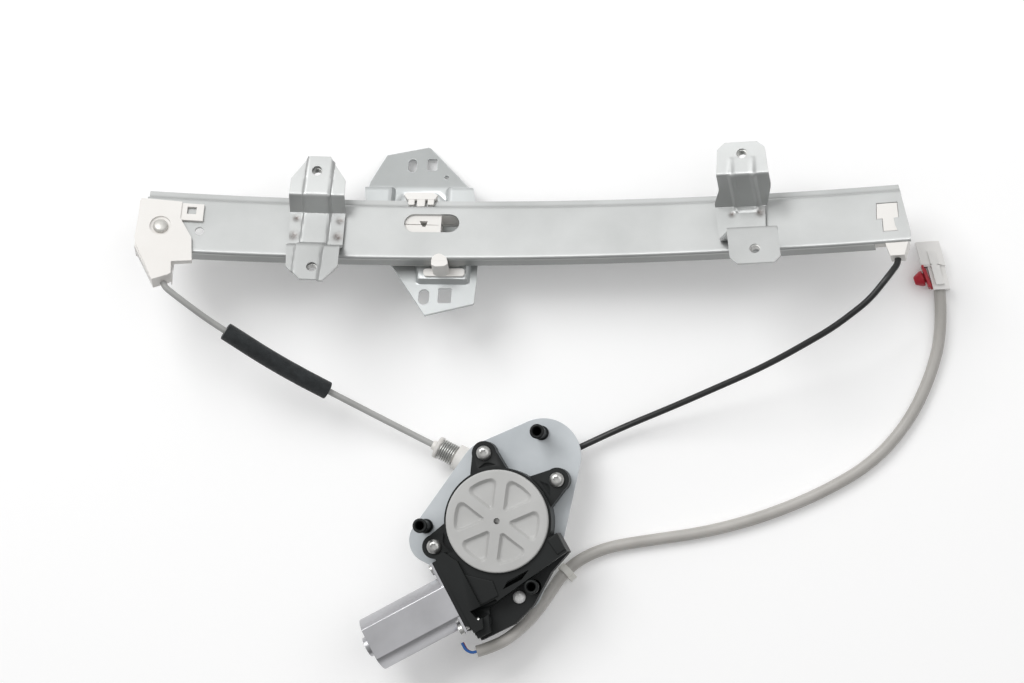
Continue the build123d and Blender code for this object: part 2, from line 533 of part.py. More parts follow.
def leaving(direction, height):
    """The plane whose z axis is the cable's line off the drum, from its point of tangency."""
    side = Vector(-direction[1], direction[0]) if direction[0] > 0 else Vector(direction[1], -direction[0])
    foot = Vector(*DRUM_XY, height) + side.normalized() * DRUM_R
    return Plane(origin=foot, x_dir=(0, 0, 1), z_dir=(*direction, 0))


grey_line = leaving(GREY_DIR, GREY_Z)
black_line = leaving(BLACK_DIR, BLACK_Z)

# ==== mounting plate, stand-offs, screws ========================================================
plate_corners = (((13.0, -33.8), 24.0), ((-57.3, -86.8), 14.4), ((-20.6, -42.7), 18.7), ((4.9, -86.6), 20.6),
                 ((1.0, -119.0), 11.5))
with BuildPart() as mounting_plate:
    with BuildSketch(table.offset(PLATE_Z[0])) as plate_sheet:
        for centre, corner_r in plate_corners:
            with Locations(centre):
                Circle(corner_r)
        make_hull()
        with Locations(DRUM_XY):
            Circle(SHAFT_R + 1, mode=Mode.SUBTRACT)
        with Locations(*SCREWS, LOW_SCREW):
            Circle(SCREW_R + BOLT_PLAY, mode=Mode.SUBTRACT)
    extrude(amount=PLATE_Z[1] - PLATE_Z[0])
finish(mounting_plate, "mounting_plate", STEEL_GREY)

with BuildPart() as standoff_posts:
    for post in POSTS:
        spool(Plane(origin=(*post, 0)),
              ((0, POST_FLOOR), (0, PLATE_Z[1]), (POST_HEAD_R, PLATE_Z[1]), (POST_HEAD_R, PLATE_Z[1] + 2),
               (POST_R, PLATE_Z[1] + 3), (POST_R, POST_TOP - 4), (POST_HEAD_R, POST_TOP - 3),
               (POST_HEAD_R, POST_TOP - 0.8), (POST_HEAD_R - 0.8, POST_TOP), (POST_BORE_R, POST_TOP),
               (POST_BORE_R, POST_FLOOR)))
finish(standoff_posts, "standoff_posts", BLACK)


def pan_screw(at, shank_low, seat, head_r=4.65, head_h=3.4):
    """A pan head screw with a hexagon socket, standing on its seat."""
    spool(Plane(origin=(*at, 0)), ((0, shank_low), (SCREW_R, shank_low), (SCREW_R, seat), (head_r, seat),
                                   (head_r, seat + head_h - 1.4), (head_r - 1.6, seat + head_h),
                                   (0, seat + head_h)))
    with BuildSketch(table.offset(seat + head_h - 1.8)) as socket:
        with Locations(at):
            RegularPolygon(1.9, 6)
    extrude(socket.sketch, amount=4, mode=Mode.SUBTRACT)


with BuildPart() as gearcase_screws:
    for place in SCREWS:
        pan_screw(place, 16.0, EAR_TOP)
finish(gearcase_screws, "gearcase_screws", STEEL_GREY)

with BuildPart() as low_screw:
    pan_screw(LOW_SCREW, 19.0, EAR_TOP - 2, head_r=4.0)
finish(low_screw, "low_screw", ZINC)

# ==== drum, its housing, windings ===============================================================
turn_pitch = (GREY_Z - BLACK_Z) / 3
turn_heights = [BLACK_Z + turn_pitch * i for i in range(4)]
groove_r = DRUM_R - CABLE_D / 2 - SEAT
groove_half = CABLE_D / 2 + 0.1
rim = [(DRUM_FLANGE_R, DRUM_Z[0]), (DRUM_FLANGE_R, DRUM_Z[0] + 2.2)]
for height in turn_heights:
    rim += [(DRUM_R + 0.3, height - groove_half), (groove_r, height - groove_half),
            (groove_r, height + groove_half), (DRUM_R + 0.3, height + groove_half)]
rim += [(DRUM_FLANGE_R, DRUM_Z[1] - 2.2), (DRUM_FLANGE_R, DRUM_Z[1])]
with BuildPart() as cable_drum:
    spool(drum, ((SHAFT_R + SEAT, DRUM_Z[0]), *rim, (SHAFT_R + SEAT, DRUM_Z[1])))
    with BuildSketch(table.offset(DRUM_Z[1] - 7)) as lightening:
        with Locations(DRUM_XY):
            with PolarLocations(14, 6):
                Circle(4)
    extrude(lightening.sketch, amount=10, mode=Mode.SUBTRACT)
finish(cable_drum, "cable_drum", WHITE)

with BuildPart() as drum_cable:
    for height in turn_heights:
        with BuildSketch(Plane(origin=(*DRUM_XY, 0), x_dir=(1, 0, 0), z_dir=(0, -1, 0))) as turn:
            with Locations((DRUM_R, height)):
                RegularPolygon(CABLE_D / 2, 6)
        revolve(turn.sketch, axis=Axis((*DRUM_XY, 0), (0, 0, 1)), revolution_arc=360)
finish(drum_cable, "drum_cable", STEEL_GREY)

with BuildPart() as drum_housing:
    disc(table, DRUM_XY, CUP_R[1], 0, PLATE_Z[0])
    disc(grey_line, (0, 0), SPOUT_R, 14, SPOUT_END)
    disc(black_line, (0, 0), BLACK_SPOUT_R, 14, BLACK_SPOUT_END)
    for place in SCREWS:
        disc(table, place, 6.0, 12.0, PLATE_Z[0])
        side = (Vector(*place) - Vector(*DRUM_XY)).normalized()
        across = Vector(-side.Y, side.X) * 5
        near = Vector(*DRUM_XY) + side * (CUP_R[1] - 2)
        corners = (near + across, near - across, Vector(*place) - across, Vector(*place) + across)
        prism(table, [(c.X, c.Y) for c in corners], 12.0, PLATE_Z[0])
        disc(table, place, SCREW_R + SEAT, 14.0, PLATE_Z[0] + 1, Mode.SUBTRACT)
    disc(table, DRUM_XY, CUP_R[0], CUP_FLOOR, PLATE_Z[0] + 1, Mode.SUBTRACT)
    disc(table, DRUM_XY, SHAFT_END_R + RUN_FIT, -1, 5, Mode.SUBTRACT)
    disc(grey_line, (0, 0), STEM_R + STEM_PLAY, STEM[0] - 8, SPOUT_END + 1, Mode.SUBTRACT)
    disc(grey_line, (0, 0), CABLE_SLOT_R, 8, SPOUT_END, Mode.SUBTRACT)
    disc(black_line, (0, 0), CONDUIT_D / 2 + SEAT, BLACK_SPOUT_END - 6, BLACK_SPOUT_END + 1, Mode.SUBTRACT)
    disc(black_line, (0, 0), CABLE_BORE_R, 8, BLACK_SPOUT_END, Mode.SUBTRACT)
finish(drum_housing, "drum_housing", WHITE)

with BuildPart() as tensioner_cap:
    spool(grey_line, ((1.2, STEM[0]), (STEM_R, STEM[0]), (STEM_R, STEM[1]), (7.15, STEM[1]), (7.15, STEM[2]),
                      (3.4, STEM[2]), (3.0, STEM[2] + 3), (CONDUIT_D / 2 + SEAT, STEM[2] + 3),
                      (CONDUIT_D / 2 + SEAT, STEM[1]), (1.2, STEM[1])))
finish(tensioner_cap, "tensioner_cap", WHITE)

spring_free = STEM[1] - SPOUT_END - SPRING_WIRE - 2 * SEAT
with BuildPart() as tensioner_spring:
    coil = Helix(pitch=spring_free / SPRING_COILS, height=spring_free, radius=SPRING_R,
                 center=grey_line.from_local_coords(Vector(0, 0, SPOUT_END + SEAT + SPRING_WIRE / 2)),
                 direction=grey_line.z_dir, mode=Mode.PRIVATE)
    with BuildSketch(Plane(origin=coil @ 0, x_dir=grey_line.z_dir, z_dir=coil % 0)) as wire:
        Rectangle(SPRING_WIRE, SPRING_WIRE)
    sweep(wire.sketch, path=coil, is_frenet=True)
finish(tensioner_spring, "tensioner_spring", STEEL_GREY)

# ==== gear housing and cover ====================================================================
case_outline = ((-44.5, 29.1), (-44.5, -29.5), (-21.6, -30.2), (-5.4, -25.3), (14.1, -12.4), (29.8, -6.5),
                (29.5, 7.0), (21.7, 7.0), (22, 20), (-30, 30))
cavity_r = TOOTH_TIP_R + 1.8
with BuildPart() as gear_housing:
    disc(table, DRUM_XY, CASE_R, PLATE_Z[1], CASE_TOP)
    prism(motor, case_outline, PLATE_Z[1], EAR_TOP - 2)
    prism(motor, ((-44.5, 29.1), (-44.5, -28.0), (-36, -28), (-30, -14), (8, -9), (29.8, -6.2),
                  (29.5, 6.8), (21.7, 6.8), (0, 20), (-30, 26)), PLATE_Z[1], CASE_TOP + 1.5)
    prism(motor, ((-44.5, 29.1), (-44.5, -24.0), (-38, -24), (-33, -12), (-33, 20), (-38, 29.1)),
          PLATE_Z[1] + 1, WORM_Z + CAN_HALF_H)
    for place in SCREWS:
        disc(table, place, 7.6, PLATE_Z[1], EAR_TOP)
        side = (Vector(*place) - Vector(*DRUM_XY)).normalized()
        across = Vector(-side.Y, side.X)
        near = Vector(*DRUM_XY) + side * (CASE_R - 6)
        corners = (near + across * 13, near - across * 13, Vector(*place) - across * 7.6,
                   Vector(*place) + across * 7.6)
        prism(table, [(c.X, c.Y) for c in corners], PLATE_Z[1], EAR_TOP)
        disc(table, place, SCREW_R + BOLT_PLAY, 10, 60, Mode.SUBTRACT)
    disc(table, LOW_SCREW, SCREW_R + BOLT_PLAY, 10, 60, Mode.SUBTRACT)
    disc(table, LOW_SCREW, 4.6, EAR_TOP - 2, 60, Mode.SUBTRACT)
    disc(table, POSTS[2], POST_HEAD_R + BOLT_PLAY, 10, 60, Mode.SUBTRACT)
    disc(table, DRUM_XY, COVER_R + 0.1, CASE_TOP, 60, Mode.SUBTRACT)
    disc(table, DRUM_XY, cavity_r, WORM_Z - WHEEL_W / 2 - 2, 60, Mode.SUBTRACT)
    disc(table, DRUM_XY, BUSHING_R + SEAT, 20, 60, Mode.SUBTRACT)
    with BuildSketch(table.offset(PLATE_Z[1])) as hollow:
        with Locations(DRUM_XY):
            Circle(29)
            Circle(11, mode=Mode.SUBTRACT)
    extrude(hollow.sketch, amount=6, mode=Mode.SUBTRACT)
    disc(worm_axis, (0, 0), WORM_BUSH_R, -50, 14, Mode.SUBTRACT)
    disc(worm_axis, (0, 0), MOTOR_SHAFT_R + RUN_FIT, 10, 26, Mode.SUBTRACT)
    disc(worm_axis, (0, 0), 7.5, -50, WORM_BUSH_X[0] - 2, Mode.SUBTRACT)
    for place in CAN_SCREWS:
        disc(worm_axis, place, CAN_SCREW_R + SEAT, -50, CARD_X[1] + 8, Mode.SUBTRACT)
finish(gear_housing, "gear_housing", BLACK)

with BuildPart() as gear_cover:
    disc(table, DRUM_XY, COVER_R, CASE_TOP + SEAT, COVER_TOP)
    with BuildSketch(table.offset(COVER_TOP - 3)) as pockets:
        with Locations(DRUM_XY):
            Circle(26.5)
            Circle(8.2, mode=Mode.SUBTRACT)
            for angle in (23, 83, 143):
                Rectangle(60, 6.3, rotation=angle, mode=Mode.SUBTRACT)
    extrude(pockets.sketch, amount=5, mode=Mode.SUBTRACT)
    spool(drum, ((cavity_r - 1.6, CASE_TOP - 1.8), (cavity_r - 0.1, CASE_TOP - 1.8),
                 (cavity_r - 0.1, CASE_TOP + 0.1), (cavity_r - 1.6, CASE_TOP + 0.1)))
    disc(table, DRUM_XY, 1.9, 40, 60, Mode.SUBTRACT)
    edges = gear_cover.edges().filter_by(GeomType.CIRCLE).filter_by(lambda e: abs(e.radius - COVER_R) < 0.01)
    chamfer(edges.group_by(Axis.Z)[-1], 1.0)
finish(gear_cover, "gear_cover", GREY)

# ==== worm wheel, damper, output shaft ==========================================================
wheel_low, wheel_high = WORM_Z - WHEEL_W / 2, WORM_Z + WHEEL_W / 2
mesh_angle = math.degrees(math.atan2(-worm_x, worm_y))
tooth_step = 360 / WHEEL_TEETH
with BuildPart() as worm_wheel:
    with BuildSketch(table.offset(wheel_low)) as gear:
        with Locations(DRUM_XY):
            Circle(TOOTH_ROOT_R)
            with PolarLocations((TOOTH_TIP_R + TOOTH_ROOT_R - 1) / 2, WHEEL_TEETH, mesh_angle + tooth_step / 2):
                Rectangle(TOOTH_TIP_R - TOOTH_ROOT_R + 1, TOOTH_T)
            Circle(DAMPER_R + SEAT, mode=Mode.SUBTRACT)
    extrude(amount=WHEEL_W)
finish(worm_wheel, "worm_wheel", WHITE)

with BuildPart() as wheel_damper:
    with BuildSketch(table.offset(wheel_low)) as rubber:
        with Locations(DRUM_XY):
            Circle(DAMPER_R)
            with PolarLocations(11.6, 6):
                Circle(1.6, mode=Mode.SUBTRACT)
            Circle(HUB_R + SEAT, mode=Mode.SUBTRACT)
    extrude(amount=WHEEL_W)
finish(wheel_damper, "wheel_damper", BLACK)

with BuildPart() as output_shaft:
    spool(drum, ((0, 0.8), (SHAFT_END_R, 0.8), (SHAFT_END_R, DRUM_Z[0] - 0.8), (SHAFT_R, DRUM_Z[0] - 0.8),
                 (SHAFT_R, wheel_low - 1), (HUB_R, wheel_low - 1), (HUB_R, wheel_high + 0.5),
                 (3.0, wheel_high + 0.5), (3.0, CASE_TOP - 0.5), (0, CASE_TOP - 0.5)))
finish(output_shaft, "output_shaft", STEEL_GREY)

with BuildPart() as shaft_bushing:
    spool(drum, ((SHAFT_R + RUN_FIT, PLATE_Z[1] + 0.5), (BUSHING_R, PLATE_Z[1] + 0.5),
                 (BUSHING_R, wheel_low - 2.2), (SHAFT_R + RUN_FIT, wheel_low - 2.2)))
finish(shaft_bushing, "shaft_bushing", BRASS)

# ==== armature ==================================================================================
with BuildPart() as armature_shaft:
    spool(worm_axis, ((0, SHAFT_ENDS[0]), (MOTOR_SHAFT_R, SHAFT_ENDS[0]), (MOTOR_SHAFT_R, -WORM_HALF - 1),
                      (WORM_CORE_R, -WORM_HALF), (WORM_CORE_R, WORM_HALF), (MOTOR_SHAFT_R, WORM_HALF + 1),
                      (MOTOR_SHAFT_R, SHAFT_ENDS[1]), (0, SHAFT_ENDS[1])))
    thread_len = WORM_LEAD * WORM_TURNS
    thread = Helix(pitch=WORM_LEAD, height=thread_len, radius=WORM_CORE_R - 0.2,
                   center=(0, 0, -thread_len / 2), direction=(0, 0, 1), mode=Mode.PRIVATE)
    to_worm = Plane(origin=worm_axis.origin, x_dir=worm_axis.x_dir * -1, z_dir=worm_axis.z_dir)
    path = to_worm.location * thread
    radial = (path @ 0 - worm_axis.from_local_coords(Vector(0, 0, -thread_len / 2))).normalized()
    crest = WORM_TIP_R - WORM_CORE_R + 0.2
    with BuildSketch(Plane(origin=path @ 0, x_dir=radial, z_dir=path % 0)) as tooth:
        with BuildLine():
            Polyline((0, -0.8), (crest, -0.5), (crest, 0.5), (0, 0.8), close=True)
        make_face()
    sweep(tooth.sketch, path=path, is_frenet=True)
finish(armature_shaft, "armature_shaft", STEEL_GREY)

with BuildPart() as rotor_core:
    with BuildSketch(worm_axis.offset(ROTOR_X[0])) as lamination:
        Circle(ROTOR_R)
        with PolarLocations(SLOT_PITCH_R, ROTOR_SLOTS):
            Circle(SLOT_R, mode=Mode.SUBTRACT)
        with PolarLocations(ROTOR_R, ROTOR_SLOTS):
            Rectangle(4, 1.6, mode=Mode.SUBTRACT)
        Circle(MOTOR_SHAFT_R + SEAT, mode=Mode.SUBTRACT)
    extrude(amount=ROTOR_X[1] - ROTOR_X[0])
finish(rotor_core, "rotor_core", STEEL_GREY)

with BuildPart() as rotor_windings:
    for inner, outer in ((ROTOR_X[1] + SEAT, ROTOR_X[1] + 4), (ROTOR_X[0] - 4, ROTOR_X[0] - SEAT)):
        spool(worm_axis, ((MOTOR_SHAFT_R + 0.6, inner), (ROTOR_R - 1.1, inner), (ROTOR_R - 1.1, outer),
                          (MOTOR_SHAFT_R + 0.6, outer)))
    with BuildSketch(worm_axis.offset(ROTOR_X[0] - 0.5)) as bundle:
        with PolarLocations(SLOT_PITCH_R, ROTOR_SLOTS):
            RegularPolygon(SLOT_R - SEAT, 8)
    extrude(bundle.sketch, amount=ROTOR_X[1] - ROTOR_X[0] + 1)
finish(rotor_windings, "rotor_windings", COPPER)

with BuildPart() as commutator:
    with BuildSketch(worm_axis.offset(COMM_X[0])) as bars:
        Circle(COMM_R)
        with PolarLocations(COMM_R, ROTOR_SLOTS, 180 / ROTOR_SLOTS):
            Rectangle(1.4, 0.5, mode=Mode.SUBTRACT)
        Circle(MOTOR_SHAFT_R + SEAT, mode=Mode.SUBTRACT)
    extrude(amount=COMM_X[1] - COMM_X[0])
finish(commutator, "commutator", COPPER)

# ==== motor can, magnets, brushes, bearings =====================================================
can_inner_r = CAN_R - CAN_WALL


def flattened(plane, radius, half_height, low, high, mode=Mode.ADD):
    """A round bar with two flats, upper and lower."""
    with BuildSketch(plane.offset(low)) as shape:
        Circle(radius)
        Rectangle(3 * radius, 2 * half_height, mode=Mode.INTERSECT)
    extrude(shape.sketch, amount=high - low, mode=mode)


with BuildPart() as motor_can:
    flattened(worm_axis, CAN_R, CAN_HALF_H, CAN_END, CAN_START)
    slab(motor, (CAN_START - CAN_WALL, CAN_START), CARD_Y, (WORM_Z - 13.5, WORM_Z + 13.5))
    disc(worm_axis, (0, 0), CAN_BOSS_R, CAN_END - 4, CAN_END + 1)
    flattened(worm_axis, can_inner_r, CAN_HALF_H - CAN_WALL, CAN_END + CAN_WALL, CAN_START + 1, Mode.SUBTRACT)
    disc(worm_axis, (0, 0), END_BUSH_R + SEAT, CAN_END - 2.6, CAN_END + 3, Mode.SUBTRACT)
    for y, z in CAN_SCREWS:
        disc(worm_axis, (y, z), CAN_SCREW_R + BOLT_PLAY, CAN_START - 3, CAN_START + 1, Mode.SUBTRACT)
finish(motor_can, "motor_can", GREY)

with BuildPart() as can_screws:
    for y, z in CAN_SCREWS:
        disc(worm_axis, (y, z), CAN_SCREW_R, CAN_START - CAN_WALL - 0.1, CARD_X[1] + 7)
        disc(worm_axis, (y, z), 3.6, CAN_START - CAN_WALL - 2.8, CAN_START - CAN_WALL)
finish(can_screws, "can_screws", STEEL_GREY)

with BuildPart() as motor_magnets:
    with BuildSketch(worm_axis.offset(ROTOR_X[0] - 3)) as arcs:
        Circle(MAGNET_R[1])
        Circle(MAGNET_R[0], mode=Mode.SUBTRACT)
        Rectangle(3 * MAGNET_R[1], 18, mode=Mode.INTERSECT)
    extrude(amount=ROTOR_X[1] - ROTOR_X[0] + 6)
finish(motor_magnets, "motor_magnets", BLACK)

with BuildPart() as brush_card:
    slab(motor, CARD_X, CARD_Y, (WORM_Z - 13.5, WORM_Z + 13.5))
    slab(motor, TAB_X, (TAB_Y[0], TAB_Y[1] - 0.3), TAB_Z)
    slab(motor, CARD_X, (TAB_Y[0], TAB_Y[1] + 0.1), TAB_Z)
    disc(worm_axis, (0, 0), 7.0, CARD_X[0] - 1, CARD_X[1] + 1, Mode.SUBTRACT)
    for side in (-1, 1):
        near, far = sorted((side * 7.2, side * 14.0))
        slab(motor, (BRUSH_X[0] - 1.2, CARD_X[0] + 0.01), (near, far), (WORM_Z - 3.6, WORM_Z + 3.6))
        slab(motor, (BRUSH_X[0] - SEAT, BRUSH_X[1] + SEAT), (near - 1, far + 1),
             (WORM_Z - BRUSH_HALF_H - SEAT, WORM_Z + BRUSH_HALF_H + SEAT), Mode.SUBTRACT)
    for y, z in CAN_SCREWS:
        disc(worm_axis, (y, z), CAN_SCREW_R + BOLT_PLAY, CAN_START - 3, CAN_START + 5, Mode.SUBTRACT)
finish(brush_card, "brush_card", WHITE)

with BuildPart() as motor_brushes:
    for side in (-1, 1):
        near, far = sorted((side * (COMM_R + RUN_FIT), side * 13.0))
        slab(motor, BRUSH_X, (near, far), (WORM_Z - BRUSH_HALF_H, WORM_Z + BRUSH_HALF_H))
finish(motor_brushes, "motor_brushes", BLACK)

with BuildPart() as shaft_bearings:
    for radius, (near, far) in ((WORM_BUSH_R - SEAT, WORM_BUSH_X), (END_BUSH_R, (SHAFT_ENDS[0], CAN_END + 3))):
        spool(worm_axis, ((MOTOR_SHAFT_R + RUN_FIT, near), (radius, near), (radius, far),
                          (MOTOR_SHAFT_R + RUN_FIT, far)))
finish(shaft_bearings, "shaft_bearings", BRASS)

# ==== conduits with their inner cables ==========================================================
def on_line(plane, reach):
    return plane.from_local_coords(Vector(0, 0, reach))


def xyz(point):
    return (point.X, point.Y, point.Z)


def conduit(points, core_start, core_end, name, colour, core_name):
    """A hollow conduit along a route, and the cable in it with a bare length at each end."""
    corners = bend_radii(points)
    with BuildPart() as sheath:
        tube(route(points), CONDUIT_D, CONDUIT_BORE)
    finish(sheath, name, colour)
    longer = [xyz(core_start), *points[1:-1], xyz(core_end)]
    with BuildPart() as core:
        strand(route(longer, corners))
    finish(core, core_name, STEEL_GREY)


drum_leave = math.sqrt((DRUM_FLANGE_R + 0.6) ** 2 - DRUM_R ** 2)
grey_points = [
    xyz(on_cap(*mouth)), xyz(on_cap(*mouth) + exit_dir * 6), (-209.3, 61.0, 66.0), (-196.8, 51.2, 57.5),
    (-153.6, 22.9, 42.0), (-104.0, -3.2, 21.5), xyz(on_line(grey_line, 86)),
    xyz(on_line(grey_line, STEM[1] + SEAT))]
conduit(grey_points, on_cap(*mouth) + exit_dir * SEAT, on_line(grey_line, drum_leave), "grey_conduit", GREY,
        "grey_cable")

black_points = [
    xyz(guide_mouth + guide_down * SEAT), xyz(guide_mouth + guide_down * 7), (227.6, 73.5, 71.5),
    (216.6, 60.0, 69.5), (195.2, 44.0, 62.0), (154.3, 22.4, 41.0), (95.3, -1.7, 19.0),
    xyz(on_line(black_line, 92)),
    xyz(on_line(black_line, BLACK_SPOUT_END - 6))]
conduit(black_points, guide_mouth + guide_down * SEAT, on_line(black_line, drum_leave), "black_conduit", BLACK,
        "black_cable")

foam_bend = Vector(*grey_points[4])
foam_from = foam_bend + (Vector(*grey_points[3]) - foam_bend) * 0.74
foam_to = foam_bend + (Vector(*grey_points[5]) - foam_bend) * 0.60
with BuildPart() as foam_sleeve:
    foam_path = route([xyz(foam_from), xyz(foam_bend), xyz(foam_to)], [bend_radii(grey_points)[3]])
    tube(foam_path, FOAM_D, CONDUIT_D + 2 * SEAT)
finish(foam_sleeve, "foam_sleeve", BLACK)

# ==== harness: leads, sleeve, tie, connector, clip ==============================================
harness_points = [
    (-27.15, -155.9, 33.0), (-14.65, -152.2, 31.0), (-2.15, -143.4, 26.0), (8.85, -131.4, 18.0),
    (16.85, -118.4, 10.5), (24.35, -106.4, 6.0), (36.35, -96.9, 4.0), (53.35, -89.9, 3.8), (81.35, -85.4, 3.8),
    (115.35, -80.4, 3.8),
    (151.35, -70.4, 3.8), (187.35, -55.4, 3.8), (218.35, -36.9, 3.8), (240.85, -11.4, 3.8), (254.85, 18.1, 3.8),
    (261.85, 47.1, 5.4), (260.35, 71.6, 5.4)]
with BuildPart() as harness_sleeve:
    harness_path = route(harness_points)
    tube(harness_path, HARNESS_D)
finish(harness_sleeve, "harness_sleeve", GREY)

start_dir = (Vector(*harness_points[1]) - Vector(*harness_points[0])).normalized()
lead_mouth = Plane(origin=Vector(*harness_points[0]), x_dir=(0, 0, 1), z_dir=start_dir)
with BuildPart() as motor_leads:
    for offset in (-1.5, 1.5):
        leave_tab = motor.from_local_coords(Vector(-56.5, TAB_Y[0], (TAB_Z[0] + TAB_Z[1]) / 2 + offset))
        below_tab = motor.from_local_coords(Vector(-56.5, TAB_Y[0] - 5.2, (TAB_Z[0] + TAB_Z[1]) / 2 + offset))
        into = lead_mouth.from_local_coords(Vector(offset, 0, -SEAT))
        before = lead_mouth.from_local_coords(Vector(offset, 0, -3))
        lead_route = [xyz(leave_tab), xyz(below_tab), xyz(before), xyz(into)]
        tube(route(lead_route, bend_radii(lead_route, 0.49)), LEAD_D)
finish(motor_leads, "motor_leads", COPPER)

tie_plane = Plane(origin=harness_path.position_at(TIE_AT), x_dir=(0, 0, 1),
                  z_dir=harness_path.tangent_at(TIE_AT))
with BuildPart() as cable_tie:
    spool(tie_plane, ((HARNESS_D / 2 + 0.1, -2.3), (HARNESS_D / 2 + 1.3, -2.3), (HARNESS_D / 2 + 1.3, 2.3),
                      (HARNESS_D / 2 + 0.1, 2.3)))
    slab(tie_plane, (-1.8, 1.8), (HARNESS_D / 2 + 0.9, HARNESS_D / 2 + 3.6), (-2.3, 2.3))
finish(cable_tie, "cable_tie", WHITE)

plug_dir = (Vector(*harness_points[-1]) - Vector(*harness_points[-2]))
plug_dir = Vector(plug_dir.X, plug_dir.Y, 0).normalized()
plug = Plane(origin=(harness_points[-1][0], harness_points[-1][1], 0), x_dir=(plug_dir.Y, -plug_dir.X, 0),
             z_dir=(0, 0, 1))
with BuildPart() as connector_housing:
    slab(plug, *PLUG_REAR)
    slab(plug, *PLUG_FRONT)
    slab(plug, (-LATCH_HALF, LATCH_HALF), (3, 24), (13.3, 14.8))
    slab(plug, (-LATCH_HALF, LATCH_HALF), (3, 8), (11.9, 14.8))
    slab(plug, *SOCKET, Mode.SUBTRACT)
    for x in TERMINAL_X:
        slab(plug, (x - TERMINAL_HALF_T - SEAT, x + TERMINAL_HALF_T + SEAT), (TERMINAL_Y[0] - 0.1, 20),
             (TERMINAL_Z[0] - SEAT, TERMINAL_Z[1] + SEAT), Mode.SUBTRACT)
finish(connector_housing, "connector_housing", WHITE)

with BuildPart() as connector_terminals:
    for x in TERMINAL_X:
        slab(plug, (x - TERMINAL_HALF_T, x + TERMINAL_HALF_T), TERMINAL_Y, TERMINAL_Z)
finish(connector_terminals, "connector_terminals", BRASS)

with BuildPart() as connector_clip:
    slab(plug, (-6.4, -5.02), (2, 13), (1, 11.5))
    clip_axis = Plane(origin=plug.from_local_coords(Vector(-6.4, 7.5, 8.0)), x_dir=(0, 0, 1),
                      z_dir=plug.x_dir * -1)
    spool(clip_axis, ((0, -0.5), (2.2, -0.5), (2.2, 1.0), (6.4, 1.2), (6.0, 2.4), (2.2, 2.6), (2.2, 4.4),
                      (3.6, 4.6), (1.8, 8.8), (3.0, 9.0), (0.8, 11.5), (0, 11.5)))
finish(connector_clip, "connector_clip", (0.70, 0.08, 0.13))
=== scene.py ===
"""Cable-drum window regulator: bowed rail, glass carrier, worm-gear motor, cable runs and wiring."""
import math

import bmesh
import bpy
from mathutils import Matrix, Vector


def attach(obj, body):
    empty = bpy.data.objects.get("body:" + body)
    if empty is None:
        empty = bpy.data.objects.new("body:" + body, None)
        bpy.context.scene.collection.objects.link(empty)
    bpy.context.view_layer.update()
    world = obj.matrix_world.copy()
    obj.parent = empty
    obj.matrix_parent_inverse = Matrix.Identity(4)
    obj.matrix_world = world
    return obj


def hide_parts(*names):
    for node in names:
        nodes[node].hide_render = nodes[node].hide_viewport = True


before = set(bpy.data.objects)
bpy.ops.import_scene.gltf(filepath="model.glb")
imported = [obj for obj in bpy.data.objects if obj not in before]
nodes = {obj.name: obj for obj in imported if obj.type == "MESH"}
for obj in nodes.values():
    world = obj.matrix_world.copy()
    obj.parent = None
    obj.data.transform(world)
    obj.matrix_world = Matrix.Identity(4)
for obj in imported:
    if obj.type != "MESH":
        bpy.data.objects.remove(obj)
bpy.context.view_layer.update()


# ==== Studio: a pale table under soft boxes, and the camera ====
# The table is one matt sheet far larger than the part. Two soft boxes hang above it, and the sky is
# brighter behind the table and overhead than in front, so that walls facing different ways differ in tone.
def set_inputs(node, values):
    """Give a node's unlinked sockets their values, by the sockets' names."""
    for label, value in values.items():
        node.inputs[label].default_value = value


def new_node(tree, kind, inputs=None, **settings):
    """A node of the kind, with its settings and the values of its unlinked sockets."""
    node = tree.nodes.new(kind)
    for label, value in settings.items():
        setattr(node, label, value)
    set_inputs(node, inputs or {})
    return node


def link_all(tree, *links):
    """Join sockets; each link is a node, its output, the next node and its input."""
    for source, output, target, entry in links:
        tree.links.new(source.outputs[output], target.inputs[entry])


def stand(name, data):
    """A new object in the scene."""
    thing = bpy.data.objects.new(name, data)
    bpy.context.scene.collection.objects.link(thing)
    return thing


table_skin = bpy.data.materials.new("table_white")
table_skin.use_nodes = True
set_inputs(table_skin.node_tree.nodes["Principled BSDF"], {
    "Base Color": (0.93, 0.93, 0.93, 1), "Roughness": 0.75, "Emission Color": (1, 1, 1, 1),
    "Emission Strength": 0.1})
TABLE_HALF = 4.0
table_mesh = bpy.data.meshes.new("table")
table_mesh.from_pydata([(x * TABLE_HALF, y * TABLE_HALF, 0) for x, y in ((-1, -1), (1, -1), (1, 1), (-1, 1))],
                       [], [(0, 1, 2, 3)])
table_mesh.materials.append(table_skin)
table = stand("table", table_mesh)

camera_data = bpy.data.cameras.new("camera")
camera_data.lens = 100.45
camera_data.sensor_width = 36
camera_data.clip_start = 0.05
camera = stand("camera", camera_data)
camera.matrix_world = Matrix((
    (0.99202, 0.00562, 0.12593, 0.22002),
    (0.00909, 0.99736, -0.07196, -0.09142),
    (-0.12601, 0.07253, 0.98943, 1.80897),
    (0, 0, 0, 1)))
bpy.context.scene.camera = camera

# name, place, side of the square in metres, power in watts
for name, at, size, watts in (("key", (-0.7, 1.0, 1.6), 1.1, 20), ("fill", (0.9, 0.3, 1.6), 1.4, 6)):
    lamp_data = bpy.data.lights.new(name, "AREA")
    lamp_data.size = size
    lamp_data.energy = watts
    lamp = stand(name, lamp_data)
    lamp.location = at
    lamp.rotation_euler = (-Vector(at)).to_track_quat("-Z", "Y").to_euler()

